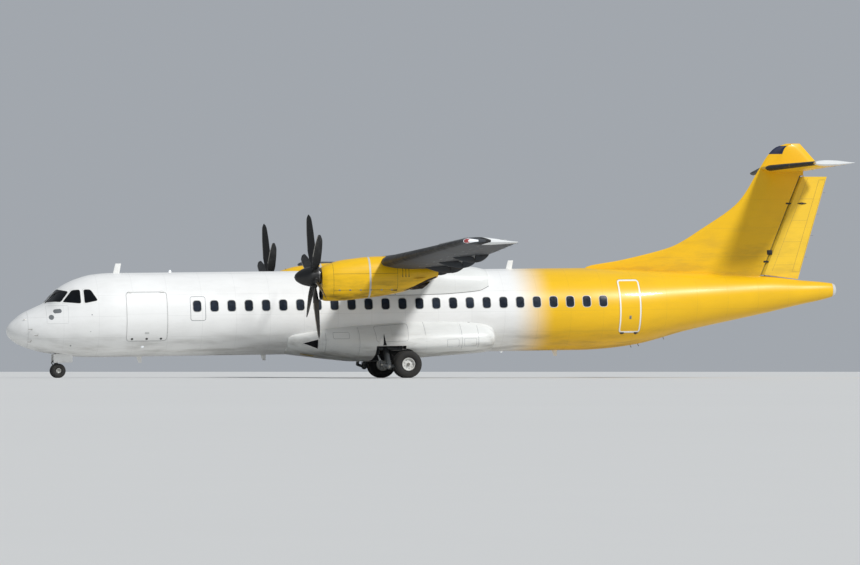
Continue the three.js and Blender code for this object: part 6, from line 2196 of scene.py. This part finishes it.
@dataclass
class MainGear:
    """A main leg with its sleeve, links, pins, hoses, brakes and wheels, given as on the starboard side."""

    label: str
    side: int
    wheel: WheelSize
    bars: tuple = (
        ((11.48, 1.45, -1.18), (12.35, 1.45, -1.18), 0.065),
        ((11.81, 1.45, -1.18), (11.81, 2.05, -1.76), 0.080),
        ((11.79, 2.05, -1.755), (12.304, 2.05, -1.699), 0.055, 0.048),
        ((11.81, 2.002, -1.76), (11.81, 2.098, -1.76), 0.085),
        ((11.54, 1.48, -1.18), (11.58, 2.00, -1.69), 0.052),
        ((11.56, 1.96, -1.68), (11.81, 2.05, -1.76), 0.045),
    )
    pins: tuple = (
        ((11.81, 1.988, -1.76), (11.81, 2.112, -1.76), 0.042),
        ((11.575, 1.925, -1.672), (11.575, 2.035, -1.698), 0.030),
        ((11.455, 1.45, -1.18), (12.365, 1.45, -1.18), 0.034),
    )
    blocks: tuple[Pair, ...] = ((11.47, 11.56), (12.26, 12.35))
    brake: tuple = ((0.07, 0.07), (0.165, 0.07), (0.172, 0.085), (0.172, 0.10), (0.07, 0.10))

    def at(self, points: tuple | list | Array) -> Array:
        """Starboard points on the leg's own side."""
        return np.array(points) * [1, self.side, 1]

    def build(self, to: Builder) -> None:
        """Builds the leg, what is on it and the wheels."""
        self.build_leg(to)
        upper = self.at([[11.81, 1.50, -1.23], [11.81, 1.64, -1.364], [11.81, 1.76, -1.48]])
        lower = self.at([[11.81, 1.93, -1.644], [11.81, 1.96, -1.673], [11.81, 1.99, -1.702]])
        sleeve, collar = tube(upper, 0.090, 28), tube(lower, 0.092, 28)
        to.add(f"leg_sleeves_{self.label}", [sleeve, collar], "gear_paint_and_painted_shade", "gear_steel")
        stroke = self.at([[11.555, 1.70, -1.378], [11.565, 1.80, -1.477], [11.573, 1.90, -1.582]])
        to.add(f"leg_piston_{self.label}", tube(stroke, 0.056, 24), "oleo_chrome", "gear_steel")
        hoses = [self.hose(*sizes) for sizes in ((0.10, 0.009), (-0.11, 0.007), (0.13, 0.006))]
        to.add(f"brake_hoses_{self.label}", hoses, "seal_black")
        centre = np.array(self.wheel.centre)
        brakes = [ring_solid(np.array(self.brake) * [1, edge], 48).moved(centre) for edge in (-1, 1)]
        to.add(f"brake_packs_{self.label}", brakes, "burnt_metal", body=f"main_wheels_{self.label}")
        places = ("inner", "outer")[::self.side]
        tyres = tuple(f"main_tyre_{self.label}_{place}" for place in places)
        WheelPair(self.wheel, f"main_wheels_{self.label}", tyres, f"main_hubs_{self.label}").build(to)

    def hose(self, beside: float, radius: float) -> Skin:
        """A hose down the leg, at a distance ahead of it or behind, that sways from side to side."""
        t = np.linspace(0, 1, 14)
        x = 11.81 + beside + 0.5 * t**2 * (beside > 0)
        y = 1.46 + 0.55 * t + 0.03 * np.sin(7 * t)
        z = -1.20 - 0.52 * t + 0.02 * np.sin(5 * t + beside * 20)
        return tube(self.at(joined(x, y, z)), radius, 8)

    def build_leg(self, to: Builder) -> None:
        """The leg in the bars of its solid: top tube on two blocks, strut, brace, links and eye."""
        bars = [bar(self.at(start), self.at(end), *radii) for start, end, *radii in self.bars]
        for x in self.blocks:
            bars.append(plate(panel(x, (-1.20, -1.1103), 0.012, 5), (self.side * 1.38, self.side * 1.52)))
        bars.append(eye(0.0475, 0.080, 0.048).moved(self.wheel.centre))
        to.add(f"leg_bars_{self.label}", bars, "gear_paint_and_painted_shade", "gear_steel",
               replaces=(f"main_leg_{self.label}",))
        pins = [bar(self.at(start), self.at(end), radius) for start, end, radius in self.pins]
        to.add(f"leg_pins_{self.label}", pins, "bare_metal", "gear_steel")


@dataclass
class NoseGear:
    """The nose leg and fork with links, lamps, wheels and bay doors."""

    wheel: WheelSize
    x: float = 1.57
    bay: tuple[float, float, float] = (1.43, 2.05, 0.27)

    def build(self, to: Builder) -> None:
        """Builds the leg and what is on it, the lamps, the doors and the wheels."""
        self.build_leg(to)
        x = self.x
        collars = [rod((x, 0, z - 0.02), (x, 0, z + 0.02), 0.078, 28) for z in (-1.30, -1.10, -0.96)]
        to.add("nose_leg_collars", collars, "dark_steel", "gear_steel")
        chrome = tube([[x, 0, -1.375], [x, 0, -1.42], [x, 0, -1.47]], 0.050, 28)
        to.add("nose_piston", chrome, "oleo_chrome", "gear_steel", "nose_steering")
        links = []
        for y in (-0.034, 0.034):
            knee = [x - 0.16, y * 0.6, -1.475]
            links.append(tube([[x - 0.05, y, -1.38], [x - 0.115, y, -1.43], knee], 0.013, 10))
            links.append(tube([knee, [x - 0.11, y, -1.56], [x - 0.04, y, -1.63]], 0.013, 10))
        to.add("nose_torque_links", links, "dark_steel", "gear_steel", "nose_steering")
        self.build_lamps(to)
        self.build_doors(to)
        WheelPair(self.wheel, "nose_wheels", ("nose_tyre_left", "nose_tyre_right"), "nose_hubs").build(to)

    def build_leg(self, to: Builder) -> None:
        """The leg with its brace and cross tube, and the steered fork with the axle's eye and a lug."""
        x = self.x
        leg = [
            bar((x, 0, -1.33), (x, 0, -0.8003), 0.062),
            bar((x + 0.01, 0, -1.15), (2.0, 0, -0.86), 0.034),
            bar((x, -0.2697, -0.96), (x, 0.2697, -0.96), 0.040),
            plate(panel((1.94, 2.0497), (-0.93, -0.8003), 0.012, 5), (-0.06, 0.06)),
        ]
        to.add("nose_leg_bars", leg, "gear_paint_and_painted_shade", "gear_steel", replaces=("nose_leg",))
        fork = [
            bar((x, 0, -1.3303), (x, 0, -1.37), 0.070),
            bar((x, 0, -1.35), (x, 0, -1.699), 0.046),
            eye(0.0258, 0.062, 0.062).moved(self.wheel.centre),
            plate(panel((x - 0.09, x), (-1.552, -1.488), 0.02), (-0.032, 0.032)),
        ]
        to.add("nose_fork_bars", fork, "gear_paint_and_painted_shade", "gear_steel", "nose_steering", replaces=("nose_fork",))

    def build_lamps(self, to: Builder) -> None:
        """Two landing lamps on a bar behind the leg."""
        cup = turned([(0.001, 0.07), (0.05, 0.06), (0.075, 0.02), (0.078, 0.0), (0.001, 0.002)], "x", 32)
        lens = turned([(0.001, 0.003), (0.070, 0.002), (0.062, -0.008), (0.001, -0.014)], "x", 32)
        cups, lenses = ([skin.moved((1.70, y, -1.10)) for y in (-0.12, 0.12)] for skin in (cup, lens))
        across = rod((1.76, -0.14, -1.10), (1.76, 0.14, -1.10), 0.014, 12)
        stay = tube([[1.57, 0, -1.10], [1.66, 0, -1.10], [1.76, 0, -1.10]], 0.016, 12)
        to.add("landing_lamp_cups", [*cups, across, stay], "bare_metal")
        to.add("landing_lamp_lenses", lenses, "lens_clear")

    def build_doors(self, to: Builder) -> None:
        """The open bay doors: plates with rounded corners and edges, on two arms each."""
        x0, x1, half = self.bay
        outline = hatch((x0 + 0.01, x1 - 0.01), (-1.475, -1.20), 0.05, 7)
        middle = outline.mean(axis=0)
        rows = [(half + 0.032, 0.985), (half + 0.036, 1.0), (half + 0.046, 1.0), (half + 0.050, 0.985)]
        for label, side in SIDES.items():
            rings = []
            for at, scale in rows:
                x, z = (middle + (outline - middle) * scale).T
                rings.append(joined(x, side * at, z))
            arms = [tube([[x, side * (half - 0.02), -1.12], [x, side * (half + 0.02), -1.20],
                          [x, side * (half + 0.041), -1.30]], 0.018, 12) for x in (x0 + 0.12, x1 - 0.12)]
            to.add(f"nose_door_{label}", [loft(rings), *arms], "door_paint", "panel_white",
                   replaces=(f"nose_gear_door_{label}",))


@dataclass(frozen=True)
class Studio:
    """A pale floor, soft light and the camera at the photograph's viewing angle."""

    floor_radius: float = 420.0
    azimuth: float = math.radians(-12.1)
    distance: float = 130.0
    height: float = 0.25
    lens: float = 170.0
    aim: Pair = (0.0, 3.05)
    sun: float = 2.7
    sky: float = 0.42

    def build_floor(self) -> None:
        """The floor: a wide disc at the height the wheels stand on."""
        count = 96
        rim = joined(*(circle(count).T * self.floor_radius), 0)
        mesh = bpy.data.meshes.new("floor")
        mesh.from_pydata(rim.tolist(), [], [list(range(count))])
        build = Shading("floor_pale", Roughness=0.85)
        mask = build.group(Effects.speckle(), Coarse=0.15, Fine=3.0)
        colour = build.mix(build.times(mask, 0.06), rgb("d6d6d4"), rgb("bdbdba"))
        mesh.materials.append(build.done(Base_Color=colour))
        floor = bpy.data.objects.new("floor", mesh)
        bpy.context.scene.collection.objects.link(floor)

    def build_lights(self) -> None:
        """A broad key light from high on the port side, and a pale sky."""
        world = bpy.data.worlds.new("pale_sky")
        world.use_nodes = True
        sky = world.node_tree.nodes["Background"]
        sky.inputs[0].default_value = (0.86, 0.92, 1.0, 1.0)
        sky.inputs[1].default_value = self.sky
        bpy.context.scene.world = world
        bpy.context.scene.view_settings.view_transform = "Standard"
        lamp = bpy.data.lights.new("key", "SUN")
        lamp.energy, lamp.angle = self.sun, math.radians(8)
        key = bpy.data.objects.new("key", lamp)
        key.rotation_euler = (math.radians(50), 0, math.radians(33))
        bpy.context.scene.collection.objects.link(key)

    def build_camera(self) -> None:
        """The camera near the floor, off the port bow."""
        data = bpy.data.cameras.new("camera")
        data.lens, data.sensor_width = self.lens, 36.0
        data.clip_start, data.clip_end = 0.5, 2000
        camera = bpy.data.objects.new("camera", data)
        x, z = self.aim
        ahead = np.array([-math.sin(self.azimuth), math.cos(self.azimuth), 0]) * self.distance
        camera.location = np.array([x, 0, self.height]) - ahead
        pitch = math.atan2(z - self.height, self.distance)
        camera.rotation_euler = (math.pi / 2 + pitch, 0, self.azimuth)
        bpy.context.scene.collection.objects.link(camera)
        bpy.context.scene.camera = camera

    def build(self) -> None:
        """Builds the stage."""
        self.build_floor()
        self.build_lights()
        self.build_camera()


HULL_ROWS = np.array([
    # X, top, bottom, half width, widest height, power above
    [0, -0.425, -0.445, 0.010, -0.435, 2],
    [0.04, -0.316, -0.614, 0.165, -0.465, 2],
    [0.21, -0.132, -0.788, 0.400, -0.460, 2],
    [0.50, 0.090, -0.950, 0.650, -0.430, 2],
    [0.83, 0.245, -1.065, 0.850, -0.400, 2],
    [1.23, 0.440, -1.165, 1.040, -0.350, 2],
    [1.58, 0.822, -1.215, 1.160, -0.280, 1.85],
    [1.88, 1.010, -1.255, 1.235, -0.230, 1.9],
    [2.16, 1.134, -1.290, 1.300, -0.190, 1.95],
    [2.72, 1.281, -1.316, 1.385, -0.130, 2],
    [3.30, 1.322, -1.320, 1.432, -0.110, 2],
    [18.5, 1.322, -1.320, 1.432, -0.110, 2],
    [19.24, 1.292, -1.290, 1.400, -0.070, 2],
    [20.34, 1.233, -1.165, 1.300, 0.020, 2],
    [21.98, 1.140, -0.764, 1.020, 0.200, 2],
    [24.75, 0.997, -0.207, 0.560, 0.400, 2],
    [25.89, 0.854, 0.040, 0.370, 0.450, 2],
    [27.02, 0.735, 0.288, 0.180, 0.510, 2],
    [27.12, 0.690, 0.345, 0.135, 0.515, 2],
    [27.166, 0.600, 0.440, 0.060, 0.520, 2],
])

AIRFOIL = np.array([
    # share of the chord, rise of the upper skin, rise of the lower skin
    [0, 0, 0],
    [0.012, 0.032, -0.020],
    [0.05, 0.060, -0.036],
    [0.12, 0.084, -0.048],
    [0.22, 0.099, -0.056],
    [0.34, 0.103, -0.058],
    [0.48, 0.094, -0.053],
    [0.62, 0.076, -0.042],
    [0.74, 0.054, -0.029],
    [0.86, 0.029, -0.016],
    [1.0, 0.002, -0.002],
])

BELLY_ROWS = np.array([
    # X, half width, widest height, bottom, rise above the widest height
    [8.75, 1.180, -0.750, -1.290, 0.200],
    [9.10, 1.370, -0.810, -1.350, 0.320],
    [9.56, 1.560, -0.860, -1.410, 0.450],
    [10.25, 1.780, -0.930, -1.500, 0.640],
    [11.10, 1.920, -1.000, -1.580, 0.790],
    [12.00, 1.965, -1.030, -1.585, 0.900],
    [13.00, 1.965, -1.020, -1.505, 0.950],
    [14.20, 1.920, -0.980, -1.425, 0.880],
    [15.00, 1.800, -0.930, -1.375, 0.740],
    [15.29, 1.640, -0.900, -1.335, 0.560],
    [15.37, 1.450, -0.880, -1.290, 0.380],
])

ROOT_ROWS = np.array([
    # X, lower edge, crest
    [9.39, 1.220, 1.318],
    [10.04, 0.885, 1.460],
    [10.70, 0.660, 1.560],
    [11.20, 0.540, 1.600],
    [12.40, 0.500, 1.560],
    [13.70, 0.520, 1.520],
    [14.36, 0.560, 1.455],
    [14.94, 0.620, 1.390],
    [15.26, 0.760, 1.318],
])

NACELLE_ROWS = np.array([
    # X, top, bottom, half width, widest height
    [9.285, 1.350, 0.335, 0.335, 0.960],
    [9.46, 1.425, 0.297, 0.400, 0.930],
    [9.93, 1.555, 0.305, 0.450, 0.920],
    [10.30, 1.600, 0.335, 0.460, 0.950],
    [10.70, 1.645, 0.375, 0.462, 0.980],
    [11.10, 1.660, 0.425, 0.460, 1.000],
    [11.50, 1.655, 0.485, 0.450, 1.050],
    [11.85, 1.600, 0.552, 0.430, 1.080],
    [12.37, 1.420, 0.735, 0.360, 1.150],
    [12.95, 1.290, 0.985, 0.220, 1.170],
])

BLADE_ROWS = np.array([
    # radius, chord, thickness, pitch in degrees from the plane of rotation
    [0.31, 0.110, 0.100, 66],
    [0.43, 0.150, 0.090, 62],
    [0.62, 0.235, 0.056, 54],
    [0.90, 0.300, 0.036, 46],
    [1.30, 0.300, 0.024, 38],
    [1.65, 0.262, 0.017, 33],
    [1.86, 0.205, 0.012, 30],
    [1.95, 0.090, 0.008, 29],
])

FIN_ROWS = np.array([
    # height, leading edge, half thickness at the rudder's hinge
    [0.700, 18.300, 0.200],
    [1.360, 18.770, 0.190],
    [1.560, 19.900, 0.185],
    [1.910, 21.400, 0.178],
    [2.020, 21.720, 0.176],
    [2.485, 22.540, 0.165],
    [3.446, 23.930, 0.142],
    [4.480, 24.627, 0.118],
    [4.930, 24.930, 0.105],
    [5.180, 25.190, 0.090],
    [5.310, 25.560, 0.060],
])


def main() -> None:
    """Builds the airliner in order, then the stage."""
    logging.basicConfig(level=logging.INFO, format="%(message)s", stream=sys.stdout)
    to = Builder(Finishes())
    hull = Sections(with_powers(HULL_ROWS, 2.0), station_power=0.5)
    x, half, middle, bottom, rise = BELLY_ROWS.T
    belly = Sections(with_powers(np.column_stack([x, middle + rise, bottom, half, middle]), 2.0, 2.5))
    tail = Tailplane()
    Fuselage(hull).build(to)
    BellyFairing(belly).build(to)
    RootFairing(hull, ROOT_ROWS).build(to)
    Wing(WingShape(AIRFOIL)).build(to)
    for label, side in SIDES.items():
        Nacelle(label, side, with_powers(NACELLE_ROWS, 2.1, 2.3)).build(to)
        Propeller(label, side, BLADE_ROWS).build(to)
    Fin(hull, FIN_ROWS).build(to, tail)
    tail.build(to)
    for label, side in SIDES.items():
        MainGear(label, side, WheelSize((12.37, side * 2.05, -1.692), 0.20, 0.430, 0.250, 0.203, 9)).build(to)
    NoseGear(WheelSize((1.6, 0.0, -1.728), 0.20, 0.225, 0.190, 0.075, 7)).build(to)
    Studio().build()


if __name__ == "__main__":
    main()
